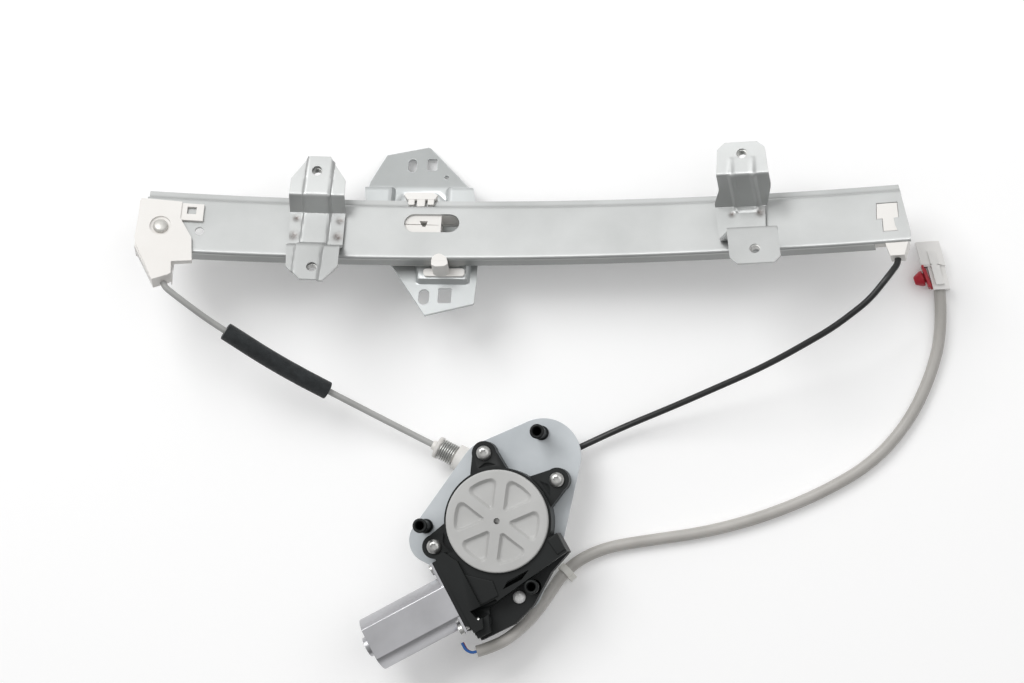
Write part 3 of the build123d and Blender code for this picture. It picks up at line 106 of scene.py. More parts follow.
world = bpy.data.worlds.new("studio")
world.use_nodes = True
sky = world.node_tree
sky_way = new_node(sky, "ShaderNodeTexCoord")
sky_side = new_node(sky, "ShaderNodeVectorMath", {1: Vector((-0.25, 0.75, 0.6)).normalized()},
                    operation="DOT_PRODUCT")
sky_level = new_node(sky, "ShaderNodeMapRange", {"From Min": -0.6, "From Max": 0.8, "To Min": 0.15,
                                                 "To Max": 0.62})
set_inputs(sky.nodes["Background"], {"Color": (1, 1, 1, 1)})
link_all(sky, (sky_way, "Generated", sky_side, 0),
         (sky_side, "Value", sky_level, "Value"),
         (sky_level, "Result", sky.nodes["Background"], "Strength"))
bpy.context.scene.world = world
bpy.context.scene.view_settings.view_transform = "Standard"


# ==== Finishes shared by the pieces ====
# Every surface carries a fine grain and a slow variation of tone, at its own scale and strength.
# The grain group is shared; each finish sets its scale, how far it is drawn out, and its colours.
def new_group(name, kind, inputs, outputs):
    """A node group with sockets given as label and kind, and its input and output nodes."""
    group = bpy.data.node_groups.new(name, kind)
    for way, sockets in (("INPUT", inputs), ("OUTPUT", outputs)):
        for label, socket in sockets:
            group.interface.new_socket(name=label, in_out=way, socket_type="NodeSocket" + socket)
    return group, group.nodes.new("NodeGroupInput"), group.nodes.new("NodeGroupOutput")


grain_group, grain_in, grain_out = new_group(
    "grain", "ShaderNodeTree", (("Scale", "Float"), ("Stretch", "Float"), ("Patch Scale", "Float")),
    (("Grain", "Float"), ("Patches", "Float")))
coords = new_node(grain_group, "ShaderNodeTexCoord")
stretch = new_node(grain_group, "ShaderNodeCombineXYZ", {"Y": 1, "Z": 1})
pull = new_node(grain_group, "ShaderNodeVectorMath", operation="MULTIPLY")
fine = new_node(grain_group, "ShaderNodeTexNoise", {"Detail": 3})
slow = new_node(grain_group, "ShaderNodeTexNoise", {"Detail": 4})
link_all(grain_group,
         (grain_in, "Stretch", stretch, "X"), (coords, "Object", pull, 0),
         (stretch, 0, pull, 1), (pull, 0, fine, "Vector"),
         (grain_in, "Scale", fine, "Scale"), (coords, "Object", slow, "Vector"),
         (grain_in, "Patch Scale", slow, "Scale"),
         (fine, "Fac", grain_out, "Grain"), (slow, "Fac", grain_out, "Patches"))


def surface(name, dark, light, rough, metal=0.0, scale=1500.0, stretch=1.0, patch=30.0, bump=0.1,
            depth=0.00004, shine=0.5, sheen=0.0):
    """A finish whose tone runs from dark to light in slow patches, with a fine bumped grain."""
    skin = bpy.data.materials.new(name)
    skin.use_nodes = True
    tree = skin.node_tree
    shader = tree.nodes["Principled BSDF"]
    set_inputs(shader, {"Metallic": metal, "Specular IOR Level": shine, "Sheen Weight": sheen})
    grain = new_node(tree, "ShaderNodeGroup", node_tree=grain_group)
    set_inputs(grain, {"Scale": scale, "Stretch": stretch, "Patch Scale": patch})
    tones = new_node(tree, "ShaderNodeValToRGB")
    for stop, at, tone in zip(tones.color_ramp.elements, (0.3, 0.7), (dark, light)):
        stop.position = at
        stop.color = (*tone, 1)
    gloss = new_node(tree, "ShaderNodeMapRange", {"To Min": rough[0], "To Max": rough[1]})
    relief = new_node(tree, "ShaderNodeBump", {"Strength": bump, "Distance": depth})
    link_all(tree, (grain, "Patches", tones, "Fac"),
             (tones, "Color", shader, "Base Color"),
             (grain, "Grain", gloss, "Value"), (gloss, "Result", shader, "Roughness"),
             (grain, "Grain", relief, "Height"), (relief, "Normal", shader, "Normal"))
    return skin


SHARP_FROM = math.radians(32)


def new_piece(name, mesh, skin, body="frame", *stands_for):
    """Add a finished mesh to the object: smooth over small angles, with large faces kept flat.

    It rides on the body and stands in for the named nodes.
    """
    mesh.materials.clear()
    mesh.materials.append(skin)
    mesh.polygons.foreach_set("use_smooth", [True] * len(mesh.polygons))
    mesh.polygons.foreach_set("material_index", [0] * len(mesh.polygons))
    mesh.set_sharp_from_angle(angle=SHARP_FROM)
    piece = stand(name, mesh)
    even = piece.modifiers.new("even", "WEIGHTED_NORMAL")
    even.keep_sharp = True
    graph = bpy.context.evaluated_depsgraph_get()
    piece.data = bpy.data.meshes.new_from_object(piece.evaluated_get(graph), preserve_all_data_layers=True,
                                                 depsgraph=graph)
    piece.modifiers.clear()
    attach(piece, body)
    if stands_for:
        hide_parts(*stands_for)
    return piece


# ==== Wiring: a vinyl tube over two leads, from the motor to the plug ====
# A smooth warm-grey tube lying loose on the table; it ends in a two-way connector. Its route is the
# middle line of the tube, in millimetres, from the leads behind the motor to the back of the plug.
harness_route = (
    (-27.15, -155.9, 33.0), (-14.65, -152.2, 31.0), (-2.15, -143.4, 26.0), (8.85, -131.4, 18.0),
    (16.85, -118.4, 10.5), (24.35, -106.4, 6.0), (36.35, -96.9, 4.0), (53.35, -89.9, 3.8), (81.35, -85.4, 3.8),
    (115.35, -80.4, 3.8), (151.35, -70.4, 3.8), (187.35, -55.4, 3.8), (218.35, -36.9, 3.8), (240.85, -11.4, 3.8),
    (254.85, 18.1, 3.8), (261.85, 47.1, 5.4), (260.35, 71.6, 5.4))
SLEEVE_R = 0.00375
sleeve_skin = surface("grey_vinyl", (0.42, 0.405, 0.38), (0.49, 0.475, 0.45), (0.36, 0.48), scale=1300, patch=45)
sleeve_curve = bpy.data.curves.new("harness_sleeve_cord", "CURVE")
sleeve_curve.dimensions = "3D"
sleeve_curve.bevel_depth = SLEEVE_R
sleeve_curve.bevel_resolution = 6
sleeve_curve.use_fill_caps = True
sleeve_line = sleeve_curve.splines.new("NURBS")
sleeve_line.points.add(len(harness_route) - 1)
for point, place in zip(sleeve_line.points, harness_route):
    point.co = (*(Vector(place) / 1000), 1)
sleeve_line.order_u = 3
sleeve_line.use_endpoint_u = True
sleeve_line.resolution_u = 12
sleeve_curve.materials.append(sleeve_skin)
sleeve = stand("harness_sleeve_cord", sleeve_curve)
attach(sleeve, "frame")
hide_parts("harness_sleeve")


# ==== Guide rail: a bowed hat section of zinc-plated sheet ====
# Rolled from 1.5 mm strip, with a stiffening lip along the top, a flange below, an access slot with a
# dished rim and punched holes. Places on it are s along the bow, v across the face and n out of it, in mm.
TILT = math.radians(23)
BOW = 1650.0
SHEET = 1.5
ALONG = Vector((1, 0, 0))
ACROSS = Vector((0, math.cos(TILT), -math.sin(TILT)))
OUTWARD = Vector((0, math.sin(TILT), math.cos(TILT)))
BOW_CENTRE = Vector((2.05, 106.1, 44.8)) + OUTWARD * BOW


def on_rail(s, v, n):
    """The point s along the bow, v across the face and n out of it, in millimetres."""
    turn = s / BOW
    reach = BOW - n
    return BOW_CENTRE + ALONG * (reach * math.sin(turn)) + ACROSS * v - OUTWARD * (reach * math.cos(turn))


def on_tangent(s, x, y, z):
    """The point x, y, z on the flat plane that touches the face at s."""
    turn = s / BOW
    along = ALONG * math.cos(turn) + OUTWARD * math.sin(turn)
    out = OUTWARD * math.cos(turn) - ALONG * math.sin(turn)
    return on_rail(s, 0, 0) + along * x + ACROSS * y + out * z


def rounded(points, radius, closed=False):
    """A flat line through the points with its corners turned into arcs."""
    line = []
    for i, point in enumerate(points):
        at = Vector(point)
        if not closed and i in (0, len(points) - 1):
            line.append(at)
            continue
        back = Vector(points[i - 1]) - at
        ahead = Vector(points[(i + 1) % len(points)]) - at
        half = back.angle(ahead) / 2
        reach = min(radius / math.tan(half), 0.48 * back.length, 0.48 * ahead.length)
        centre = at + (back.normalized() + ahead.normalized()).normalized() * reach / math.cos(half)
        start, end = at + back.normalized() * reach - centre, at + ahead.normalized() * reach - centre
        steps = max(2, round((math.pi - 2 * half) / 0.3))
        line += [centre + start.slerp(end, k / steps) for k in range(steps + 1)]
    return line


def dense(line, step):
    """The line with its long stretches divided."""
    out = []
    for a, b in zip(line, line[1:]):
        parts = max(1, round((b - a).length / step))
        out += [a.lerp(b, k / parts) for k in range(parts)]
    return out + [line[-1]]


def soft_step(x):
    """0 below 0, 1 above 1 and a smooth rise between."""
    x = min(max(x, 0.0), 1.0)
    return x * x * (3 - 2 * x)


def plate_mesh(name, rows, thickness, marks=None):
    """A closed plate of even thickness about a grid of points; marks gives each point's stain above 0 and its
    painted shade below 0.
    """
    tall, wide = len(rows), len(rows[0])
    verts, faces = [], []
    for side in (0.5, -0.5):
        for i in range(tall):
            for j in range(wide):
                down = rows[min(i + 1, tall - 1)][j] - rows[max(i - 1, 0)][j]
                right = rows[i][min(j + 1, wide - 1)] - rows[i][max(j - 1, 0)]
                verts.append((rows[i][j] + down.cross(right).normalized() * side * thickness) / 1000)
    back = tall * wide
    for i in range(tall - 1):
        for j in range(wide - 1):
            a = i * wide + j
            faces.append((a, a + wide, a + wide + 1, a + 1))
            faces.append((back + a, back + a + 1, back + a + wide + 1, back + a + wide))
    rim = [j for j in range(wide)] + [i * wide + wide - 1 for i in range(1, tall)]
    rim += [(tall - 1) * wide + j for j in range(wide - 2, -1, -1)] + [i * wide for i in range(tall - 2, 0, -1)]
    for a, b in zip(rim, rim[1:] + rim[:1]):
        faces.append((a, b, back + b, back + a))
    mesh = bpy.data.meshes.new(name)
    mesh.from_pydata(verts, [], faces)
    if marks:
        stain_and_painted_shade = mesh.attributes.new("mark", "FLOAT", "POINT")
        stain_and_painted_shade.data.foreach_set("value", [m for row in marks for m in row] * 2)
    return mesh


def bar(rings):
    """A closed solid through rings of points, each ring in the same order."""
    count = len(rings[0])
    verts = [p / 1000 for ring in rings for p in ring]
    faces = [tuple(reversed(range(count))), tuple(range(len(verts) - count, len(verts)))]
    for r in range(len(rings) - 1):
        for k in range(count):
            a, b = r * count + k, r * count + (k + 1) % count
            faces.append((a, b, b + count, a + count))
    return verts, faces


def as_mesh(name, work):
    """The finished mesh of a bmesh."""
    mesh = bpy.data.meshes.new(name)
    work.to_mesh(mesh)
    work.free()
    return mesh


def joined(name, solids):
    """One mesh of several closed solids, faces outward."""
    work = bmesh.new()
    for verts, faces in solids:
        made = [work.verts.new(v) for v in verts]
        for face in faces:
            work.faces.new([made[k] for k in face])
    bmesh.ops.recalc_face_normals(work, faces=work.faces)
    return as_mesh(name, work)


def combined(mesh, tools, operation="DIFFERENCE", crossing=False):
    """The mesh with the tool solids, which may cross one another, cut out of it or kept in common."""
    body, tool = stand("work", mesh), stand("tool", joined("tool", tools))
    cut = body.modifiers.new("cut", "BOOLEAN")
    cut.operation = operation
    cut.solver = "EXACT"
    cut.use_self = crossing
    cut.object = tool
    ready = body.evaluated_get(bpy.context.evaluated_depsgraph_get())
    result = bpy.data.meshes.new_from_object(ready)
    for thing in (body, tool):
        bpy.data.objects.remove(thing)
    result.name = mesh.name
    return result


def ring(x, y, radius, count=40):
    """Points round a circle."""
    turns = [2 * math.pi * k / count for k in range(count)]
    return [(x + radius * math.cos(turn), y + radius * math.sin(turn)) for turn in turns]


def shaped_tool(place, outline, low, high):
    """A punch of any closed outline, square to a plane; place turns its coordinates into points."""
    return bar([[place(p[0], p[1], z) for p in outline] for z in (low, high)])


def punches(place, *shapes):
    """Punches at one place, each an outline with its lower and its upper height."""
    return [shaped_tool(place, *shape) for shape in shapes]


def face_place(s):
    """The place whose origin is the face's centre line at s."""
    return lambda x, y, z: on_tangent(s, x, y, z)


def oblong(x0, y0, x1, y1):
    """The corners of a rectangle."""
    return [(x0, y0), (x1, y0), (x1, y1), (x0, y1)]


def slot_outline(x, y, length, width, steps=12):
    """A round-ended slot lying along x."""
    half = length / 2 - width / 2
    ends = [(x + half, -math.pi / 2), (x - half, math.pi / 2)]
    return [(cx + width / 2 * math.cos(a + math.pi * k / steps), y + width / 2 * math.sin(a + math.pi * k / steps))
            for cx, a in ends for k in range(steps + 1)]


SLOT_AT, SLOT_UP, SLOT_LONG, SLOT_WIDE = -58.3, 6.1, 35.0, 13.0
RAIL_FROM, RAIL_LONG, STATION = -239.5, 480.0, 1.5
FACE_LOW, FACE_TOP, LIP_TOP = -17.25, 18.0, 26.2
FACE_N, LIP_N, FLANGE_N = -SHEET / 2, -8.25, -9.0
BEND = 1.1
section = dense(rounded([(LIP_TOP, LIP_N), (FACE_TOP, LIP_N), (FACE_TOP, FACE_N), (FACE_LOW, FACE_N),
                         (FACE_LOW, FLANGE_N)], BEND), 1.1)


ON_FACE = -0.8                          # points of the section with a higher n belong to the face
RIM_WIDE, RIM_DEEP = 4.6, 2.2
LANCE_FROM, LANCE_TO, LANCE_HIGH = 205.5, 222.0, 0.9
PANEL_FROM, PANEL_DEEP = 216.2, 0.5
# Painted shade on the flange and painted shadow in the groove behind the lip, as marks below 0.
FLANGE_PAINTED_SHADE, GROOVE_PAINTED_SHADOW = -0.5, -0.9
SCORCH_AT, SCORCH_UP = -153.5, -7.4


def face_relief(s, v):
    """How far the face is pressed in or out: the slot's rim, a lance and the low panel at the right end."""
    ahead = max(abs(s - SLOT_AT) - (SLOT_LONG - SLOT_WIDE) / 2, 0)
    gap = math.hypot(ahead, v - SLOT_UP) - SLOT_WIDE / 2
    share = 1.0 if abs(s - SLOT_AT) > 9 else 0.35
    relief = -RIM_DEEP * share * (1 - soft_step(gap / RIM_WIDE)) if gap < RIM_WIDE else 0.0
    if LANCE_FROM < s < LANCE_TO:
        crest = -0.3 - (s - 206.4) * 0.21
        relief += LANCE_HIGH * math.exp(-((v - crest) / 0.9) ** 2) * soft_step((s - LANCE_FROM) / 4)
    if s > PANEL_FROM - 4.2:
        relief -= PANEL_DEEP * soft_step((s - PANEL_FROM - (9.9 - v) * 0.22) / 1.6) * soft_step((12 - v) / 3)
    return relief


def deepening(s):
    """How far the lower edge is let down: most at the left, nothing under the end cap or near the right end."""
    return max(1.1 - 0.0065 * s, 0) * soft_step((s + 221) / 6)


def rail_mark(s, v, n):
    """Stain by the left bracket's weld above 0; below 0 painted shade on the flange and painted shadow in the
    groove behind the lip.
    """
    if v < 0 and n < -2.0:
        return FLANGE_PAINTED_SHADE
    if n < -7:
        return GROOVE_PAINTED_SHADOW * soft_step((23.6 - v) / 2.6)
    return math.exp(-(((s - SCORCH_AT) / 6.5) ** 2 + ((v - SCORCH_UP) / 1.6) ** 2)) if n > ON_FACE else 0.0


END_SLANT, END_SHORT = 9.3 / 42.3, 7.8    # the right end recedes towards the top of the lip
rail_rows, rail_marks = [], []
for k in range(round(RAIL_LONG / STATION) + 1):
    station = RAIL_FROM + k * STATION
    row, marks = [], []
    for v, n in section:
        s = station + (station - RAIL_FROM) / RAIL_LONG * min((24.3 - v) * END_SLANT - END_SHORT, 0)
        v -= deepening(s) * min(max(v / FACE_LOW, 0), 1)
        row.append(on_rail(s, v, n + (face_relief(s, v) if n > ON_FACE else 0.0)))
        marks.append(rail_mark(s, v, n))
    rail_rows.append(row)
    rail_marks.append(marks)
WINDOW_AT, PULLEY_AT, PULLEY_UP, PIN_AT, PIN_UP = 226.5, -229.0, -4.0, -204.5, -4.8
FLANGE_CUT = (-15, -1.51)               # the flange is cut away at both ends for the cables
rail_tools = [
    shaped_tool(face_place(SLOT_AT), slot_outline(0, SLOT_UP, SLOT_LONG, SLOT_WIDE), -5, 5),
    shaped_tool(face_place(PULLEY_AT), ring(0, PULLEY_UP, 3.1), -5, 5),
    shaped_tool(face_place(PIN_AT), ring(0, PIN_UP, 2.8), -5, 5),
    shaped_tool(face_place(WINDOW_AT), ((-7, 9.8), (6, 9.8), (6.9, -0.9), (3.6, -1.3), (4.6, -6.5), (6.2, -10.4),
                                        (-2.8, -10.4), (-3.4, -1.5), (-7, -1.5)), -5, 5),
    shaped_tool(face_place(-230), oblong(-15, -25, 11, -15.8), *FLANGE_CUT),
    shaped_tool(face_place(230), oblong(-12, -25, 15, -15.8), *FLANGE_CUT)]


def metal(name, dark, light, rough, stretch, patch):
    """Plated sheet with drawn grain; heat stains where the mesh's mark is above 0, painted shade where below."""
    skin = surface(name, dark, light, rough, metal=0.72, scale=1500, stretch=stretch, patch=patch, bump=0.06)
    tree = skin.node_tree
    stain_and_painted_shade = new_node(tree, "ShaderNodeAttribute", attribute_name="mark")
    where = new_node(tree, "ShaderNodeTexCoord")
    speck = new_node(tree, "ShaderNodeTexNoise", {"Scale": 600, "Detail": 4})
    rough_edge = new_node(tree, "ShaderNodeMath", {1: 2.2, 2: -0.15}, operation="MULTIPLY_ADD")
    amount = new_node(tree, "ShaderNodeMath", operation="MULTIPLY", use_clamp=True)
    # A mark below 0 is painted shade: it mixes the colour towards a dark grey.
    painted_shade_amount = new_node(tree, "ShaderNodeMath", {1: -1}, operation="MULTIPLY", use_clamp=True)
    scorched = new_node(tree, "ShaderNodeMix", data_type="RGBA")
    shaded = new_node(tree, "ShaderNodeMix", data_type="RGBA")
    set_inputs(scorched, {"B": (0.10, 0.07, 0.06, 1)})
    set_inputs(shaded, {"B": (0.16, 0.165, 0.16, 1)})
    link_all(tree, (where, "Object", speck, "Vector"), (speck, "Fac", rough_edge, 0),
             (stain_and_painted_shade, "Fac", amount, 0), (rough_edge, 0, amount, 1),
             (amount, 0, scorched, "Factor"),
             (tree.nodes["Color Ramp"], "Color", scorched, "A"),
             (stain_and_painted_shade, "Fac", painted_shade_amount, 0), (painted_shade_amount, 0, shaded, "Factor"),
             (scorched, "Result", shaded, "A"),
             (shaded, "Result", tree.nodes["Principled BSDF"], "Base Color"))
    return skin


zinc = metal("zinc_plate", (0.45, 0.46, 0.455), (0.53, 0.54, 0.535), (0.36, 0.48), 0.12, 22)
rail_mesh = combined(plate_mesh("rail_sheet", rail_rows, SHEET, rail_marks), rail_tools)
new_piece("rail_sheet", rail_mesh, zinc, "frame", "guide_rail")


# ==== Brackets: two pressed hats spot-welded to the rail's face ====
# Each is a strip of 1.5 mm zinc-plated sheet with a base, two walls and two tabs, stiffened by pressed ribs.
# Four welds hold the base of the left one, two the right one's; M6 nuts are welded behind the tabs.
def span(outline, y):
    """The left and right limits of a closed outline at height y."""
    hits = []
    for (x0, y0), (x1, y1) in zip(outline, outline[1:] + outline[:1]):
        if y0 != y1 and min(y0, y1) <= y <= max(y0, y1):
            hits.append(x0 + (x1 - x0) * (y - y0) / (y1 - y0))
    return (min(hits), max(hits)) if hits else (0, 0)


TAB_HOLE_R = 3.3
WELD_HEAT, WELD_DEEP = 0.75, 0.16


def pressed_strip(name, s, spine, outline, ridge, welds, holes, edge, step=0.8):
    """A strip at s, bent along its spine of (v, n) points and trimmed to an outline of (x, v) points.

    ridge gives the relief at a point, welds are (x, v, size) and holes are (x, v); edge rounds the corners.
    """
    outline = [tuple(p) for p in rounded(outline, edge, closed=True)]
    line = dense(rounded(spine, 2.4), step)
    low, high = min(p[1] for p in outline) + 0.02, max(p[1] for p in outline) - 0.02
    wide = max(p[0] for p in outline) - min(p[0] for p in outline)
    columns = round(wide / step)
    rows, marks = [], []
    for k, (v, n) in enumerate(line):
        ahead = line[min(k + 1, len(line) - 1)] - line[max(k - 1, 0)]
        slope = Vector((ahead.y, -ahead.x)).normalized()
        left, right = span(outline, min(max(v, low), high))
        row, stain_and_painted_shade = [], []
        for j in range(columns + 1):
            x = left + (right - left) * j / columns
            lift = ridge(x, v, n)
            heat = 0.0
            for wx, wv, size in welds:
                far = math.hypot(x - wx, v - wv) / size
                heat = max(heat, WELD_HEAT * math.exp(-(far / 1.3) ** 2))
                lift -= WELD_DEEP * math.exp(-far ** 4)
            row.append(on_tangent(s, x, v + slope.x * lift, n + slope.y * lift))
            stain_and_painted_shade.append(heat)
        rows.append(row)
        marks.append(stain_and_painted_shade)
    tab_n = spine[0][1]
    tools = [shaped_tool(face_place(s), ring(x, y, TAB_HOLE_R), tab_n - 6, tab_n + 6) for x, y in holes]
    return combined(plate_mesh(name, rows, SHEET, marks), tools)


def left_ridge(x, v, n):
    """A broad raised band down the middle, leaning a little."""
    shift = -0.04 * (20 - v)
    band = soft_step((x - shift + 8.8) / 1.2) * soft_step((shift + 8.8 - x) / 1.2)
    return 1.25 * band


left_mesh = pressed_strip(
    "left_hat", -130.4, [(42, 17.25), (14.5, 17.25), (12, 0.87), (-14, 0.87), (-20, 17.25), (-46, 17.25)],
    [(-9, 42), (9, 42), (9, 36.5), (18.3, 27), (18.3, -35.5), (9.8, -46), (-6.5, -46), (-15.8, -37), (-17.2, -20),
     (-18.8, 10), (-18.3, 27), (-9, 36.5)],
    left_ridge, [(-13.2, 5.6, 1.7), (-14.2, -6.8, 2.2), (14.2, 4.6, 1.7), (13.8, -6.7, 2.4)],
    [(-1.0, 31.7), (1.4, -36.8)], 2.0)
new_piece("left_hat", left_mesh, zinc, "frame", "left_bracket")


def right_ridge(x, v, n):
    """A rib each side of a hollow on the tall upper wall, running out on the base."""
    if v < 8 or n > 33.5 and v > 19:
        return 0.0
    fade = soft_step((n - 0.8) / 3) * (1 - soft_step((n - 31) / 3))
    ribs = math.exp(-((x + 4.2) / 1.3) ** 2) + math.exp(-((x - 9.2) / 1.3) ** 2)
    return (1.4 * ribs + 0.5 * soft_step((x + 4.2) / 2) * soft_step((9.2 - x) / 2)) * fade


right_mesh = pressed_strip(
    "right_hat", 138.0, [(39, 34.25), (16, 34.25), (14, 0.87), (-12, 0.87), (-19.5, 34.25), (-46, 34.25)],
    [(-13, 15), (-13, 34.5), (-8.5, 39), (12, 39), (16.7, 35), (19.4, 15.5), (13.2, 12), (14, -12), (24.4, -18.4),
     (27.5, -41.9), (23.7, -46), (1, -46), (-3.7, -41.4), (-6.1, -18.3), (-14.7, -11), (-18, 13.4)],
    right_ridge, [(-7.2, 6.3, 1.5), (10.4, 6.8, 2.1)], [(2.4, 31.0), (11.6, -35.9)], 1.2)
new_piece("right_hat", right_mesh, zinc, "frame", "right_bracket")


# ==== Fasteners: the weld nuts behind the brackets ====
# Six-sided zinc-plated nuts, projection-welded to the back of the tabs.
EDGE_FROM = math.radians(35)


def broken_edges(name, work, width, segments):
    """The mesh of the work with its sharp edges broken by a small radius."""
    if width:
        edges = [e for e in work.edges if len(e.link_faces) == 2 and e.calc_face_angle(0) > EDGE_FROM]
        bmesh.ops.bevel(work, geom=edges, offset=width / 1000, segments=segments, profile=0.5, affect="EDGES",
                        clamp_overlap=True)
    return as_mesh(name, work)


def eased_mesh(node, width, segments=2):
    """The node's own mesh, welded, with broken edges."""
    work = bmesh.new()
    work.from_mesh(nodes[node].data)
    bmesh.ops.remove_doubles(work, verts=work.verts, dist=1e-6)
    if width:
        bmesh.ops.dissolve_limit(work, angle_limit=math.radians(1.0), verts=work.verts, edges=work.edges)
    return broken_edges(node + "_shape", work, width, segments)


def eased(node, skin, width=0, body="frame"):
    """Stand a shaded copy with broken edges in for the node."""
    return new_piece(node + "_eased", eased_mesh(node, width), skin, body, node)


bright_steel = surface("bright_steel", (0.46, 0.46, 0.45), (0.60, 0.60, 0.58), (0.26, 0.4), metal=0.9, bump=0.06)
eased("weld_nuts", bright_steel, 0.3)


# ==== Glass carrier: a stepped plate riveted to the slider behind the rail ====
# Pressed from 2 mm sheet: the middle panel stands 4 mm proud of the two tabs that take the glass screws.
# It is trimmed to its outline after pressing; the slider's rivets hold it.
CARRIER_AT, CARRIER_SHEET, CARRIER_N, STEP_DEEP, DRAW = -62.0, 2.0, -14.0, 4.0, 2.2


def carrier_depth(x, v):
    """Middle of the sheet, out of the face, at the point x, v; each step is drawn over a width of DRAW."""
    deep = max(soft_step((v - 39) / DRAW),
               soft_step((v - 26.8) / DRAW) * soft_step((x + 26.2) / DRAW) * soft_step((12.2 - x) / DRAW),
               soft_step((-9.8 - v) / DRAW) * soft_step((-2.8 - (v + 28) * 0.14 - x) / DRAW),
               soft_step((-9.8 - v) / DRAW) * soft_step((x - 25.4) / DRAW),
               soft_step((-25.8 - v) / DRAW))
    ledge_bead = 0.55 * math.exp(-((v + 22.8) / 0.9) ** 2) * soft_step((x + 1) / 2) * soft_step((26 - x) / 2)
    arch = [Vector(p) for p in ((-20.6, 32.2), (-18.1, 36.3), (4.0, 37.3), (9.1, 32.5))]
    near = 9.0
    for a, b in zip(arch, arch[1:]):
        along = min(max((Vector((x, v)) - a).dot(b - a) / (b - a).length_squared, 0), 1)
        near = min(near, (a + (b - a) * along - Vector((x, v))).length)
    return CARRIER_N - STEP_DEEP * deep + ledge_bead - 0.6 * math.exp(-(near / 0.9) ** 2)


def carrier_mark(x, v):
    """Painted shade darkens the upper tab and the sheet behind the access slot."""
    return -0.42 * soft_step((v - 40) / 3) - 0.95 * math.exp(-(((x - 17) / 9) ** 4 + (v / 8) ** 4))


def upright_slot(x, y, length, width):
    """A round-ended slot lying across the rail."""
    return [(x - (q - y), y + p - x) for p, q in slot_outline(x, y, length, width)]


carrier_outline = rounded(
    [(-43, 41), (-43, 27), (-34, 20), (-28, -12), (-20.7, -14.5), (0.6, -51.1), (2.6, -51.3),
     (33.3, -42.9), (31, -26), (31, -12), (32, 20), (28, 41), (22.3, 41), (-1.7, 71.7), (-4, 73), (-32, 66.6),
     (-39, 45), (-40.5, 41)], 2.4, True)
carrier_place = face_place(CARRIER_AT)
GRID_X, GRID_V, GRID = -45, 75, 0.9         # its first corner and its spacing
carrier_grid = [[(GRID_X + j * GRID, GRID_V - i * GRID) for j in range(90)] for i in range(142)]
carrier_sheet = plate_mesh(
    "carrier_sheet", [[carrier_place(x, v, carrier_depth(x, v)) for x, v in row] for row in carrier_grid],
    CARRIER_SHEET, [[carrier_mark(x, v) for x, v in row] for row in carrier_grid])
carrier_sheet = combined(carrier_sheet, [shaped_tool(carrier_place, carrier_outline, -26, -6)], "INTERSECT")
carrier_holes = (upright_slot(-13.9, 57.8, 9.9, 5.7), upright_slot(-0.1, -37.5, 11.2, 6.8),
                 rounded(oblong(-4, 54.8, 1.6, 62.6), 0.6, True),
                 rounded(oblong(9.2, -41.3, 16.8, -31.3), 0.6, True), ring(8.7, 49.3, 1.5))
carrier_sheet = combined(carrier_sheet, punches(carrier_place, *((hole, -25, -11) for hole in carrier_holes)))
grey_zinc = metal("carrier_zinc", (0.47, 0.49, 0.49), (0.58, 0.60, 0.60), (0.38, 0.5), 1.0, 20)
new_piece("carrier_sheet", carrier_sheet, grey_zinc, "carrier", "glass_carrier")
eased("carrier_rivets", bright_steel, 0.3, "carrier")

# ==== Slider: an acetal shoe that runs inside the rail ====
# Moulded in white acetal; its split line and T-shaped notch show through the access slot. A clip with
# three fingers holds it over the lip, and a tooth on a bar below the flange.
white_plastic = surface("white_acetal", (0.75, 0.73, 0.70), (0.81, 0.795, 0.77), (0.36, 0.5), scale=1600,
                        patch=18, bump=0.06)
slider_mesh = combined(eased_mesh("slider_shoe", 0.3), punches(
    carrier_place, ([(-14, 5.9), (8, 5.5), (8, 6.0), (-14, 6.4)], -4, 1),
    ([(-2.2, 4.5), (-0.4, 4.5), (0.9, 8.6), (-4.4, 8.6)], -5, 1), (oblong(-23, 18.4, 24, 31), -10.9, -1),
    (oblong(-23, 24.6, 24, 31), -14, -1), (oblong(-23, -24, 24, -17.6), -14, -1)), crossing=True)
new_piece("slider_body", slider_mesh, white_plastic, "carrier", "slider_shoe")


def moulded(name, solids, width):
    """One mesh of closed solids with broken edges."""
    work = bmesh.new()
    work.from_mesh(joined(name, solids))
    return broken_edges(name, work, width, 2)


# outline and lower and upper height of each solid: the clip's flange and back, the tooth, its nose and its bar
clip_shapes = [
    ([(-16.3, 29.4), (-14, 30.6), (2.3, 30.7), (5.8, 28.8), (4.0, 25.6), (-13.6, 25.4)], -6.8, -4.0),
    ([(-15.8, 29.4), (-14, 30.4), (2.3, 30.5), (5.2, 28.8), (5.0, 27.2), (-14.6, 27.2)], -12.8, -6.0)]
for x0, x1, low in ((-13.0, -8.9, 21.7), (-7.4, -2.2, 20.6), (-0.6, 3.5, 21.8)):
    clip_shapes.append(([(x0, 26.5), (x0, low + 0.6), (x0 + 0.6, low), (x1 - 0.6, low), (x1, low + 0.6),
                         (x1, 26.5)], -7.0, -4.3))
clip_shapes += [
    ([(5.2, -20.4), (15.4, -20.4), (15.8, -23.6), (13.6, -25.2), (8.0, -25.6), (5.4, -24.2)], -12.8, 1.2),
    ([(5.3, -21.5), (5.6, -19.0), (7.0, -17.2), (9.4, -16.2), (11.4, -16.5), (13.4, -17.8), (15.0, -19.4),
      (15.3, -21.5)], 0.3, 1.35),
    ([(-1.0, -21.2), (0.4, -20.2), (23.8, -19.8), (25.2, -21.0), (25.2, -24.2), (24.0, -25.4), (0.6, -25.6),
      (-0.8, -24.2)], -12.8, -11.2)]
new_piece("slider_clip", moulded("slider_clip", punches(carrier_place, *clip_shapes), 0.5), white_plastic,
          "carrier")

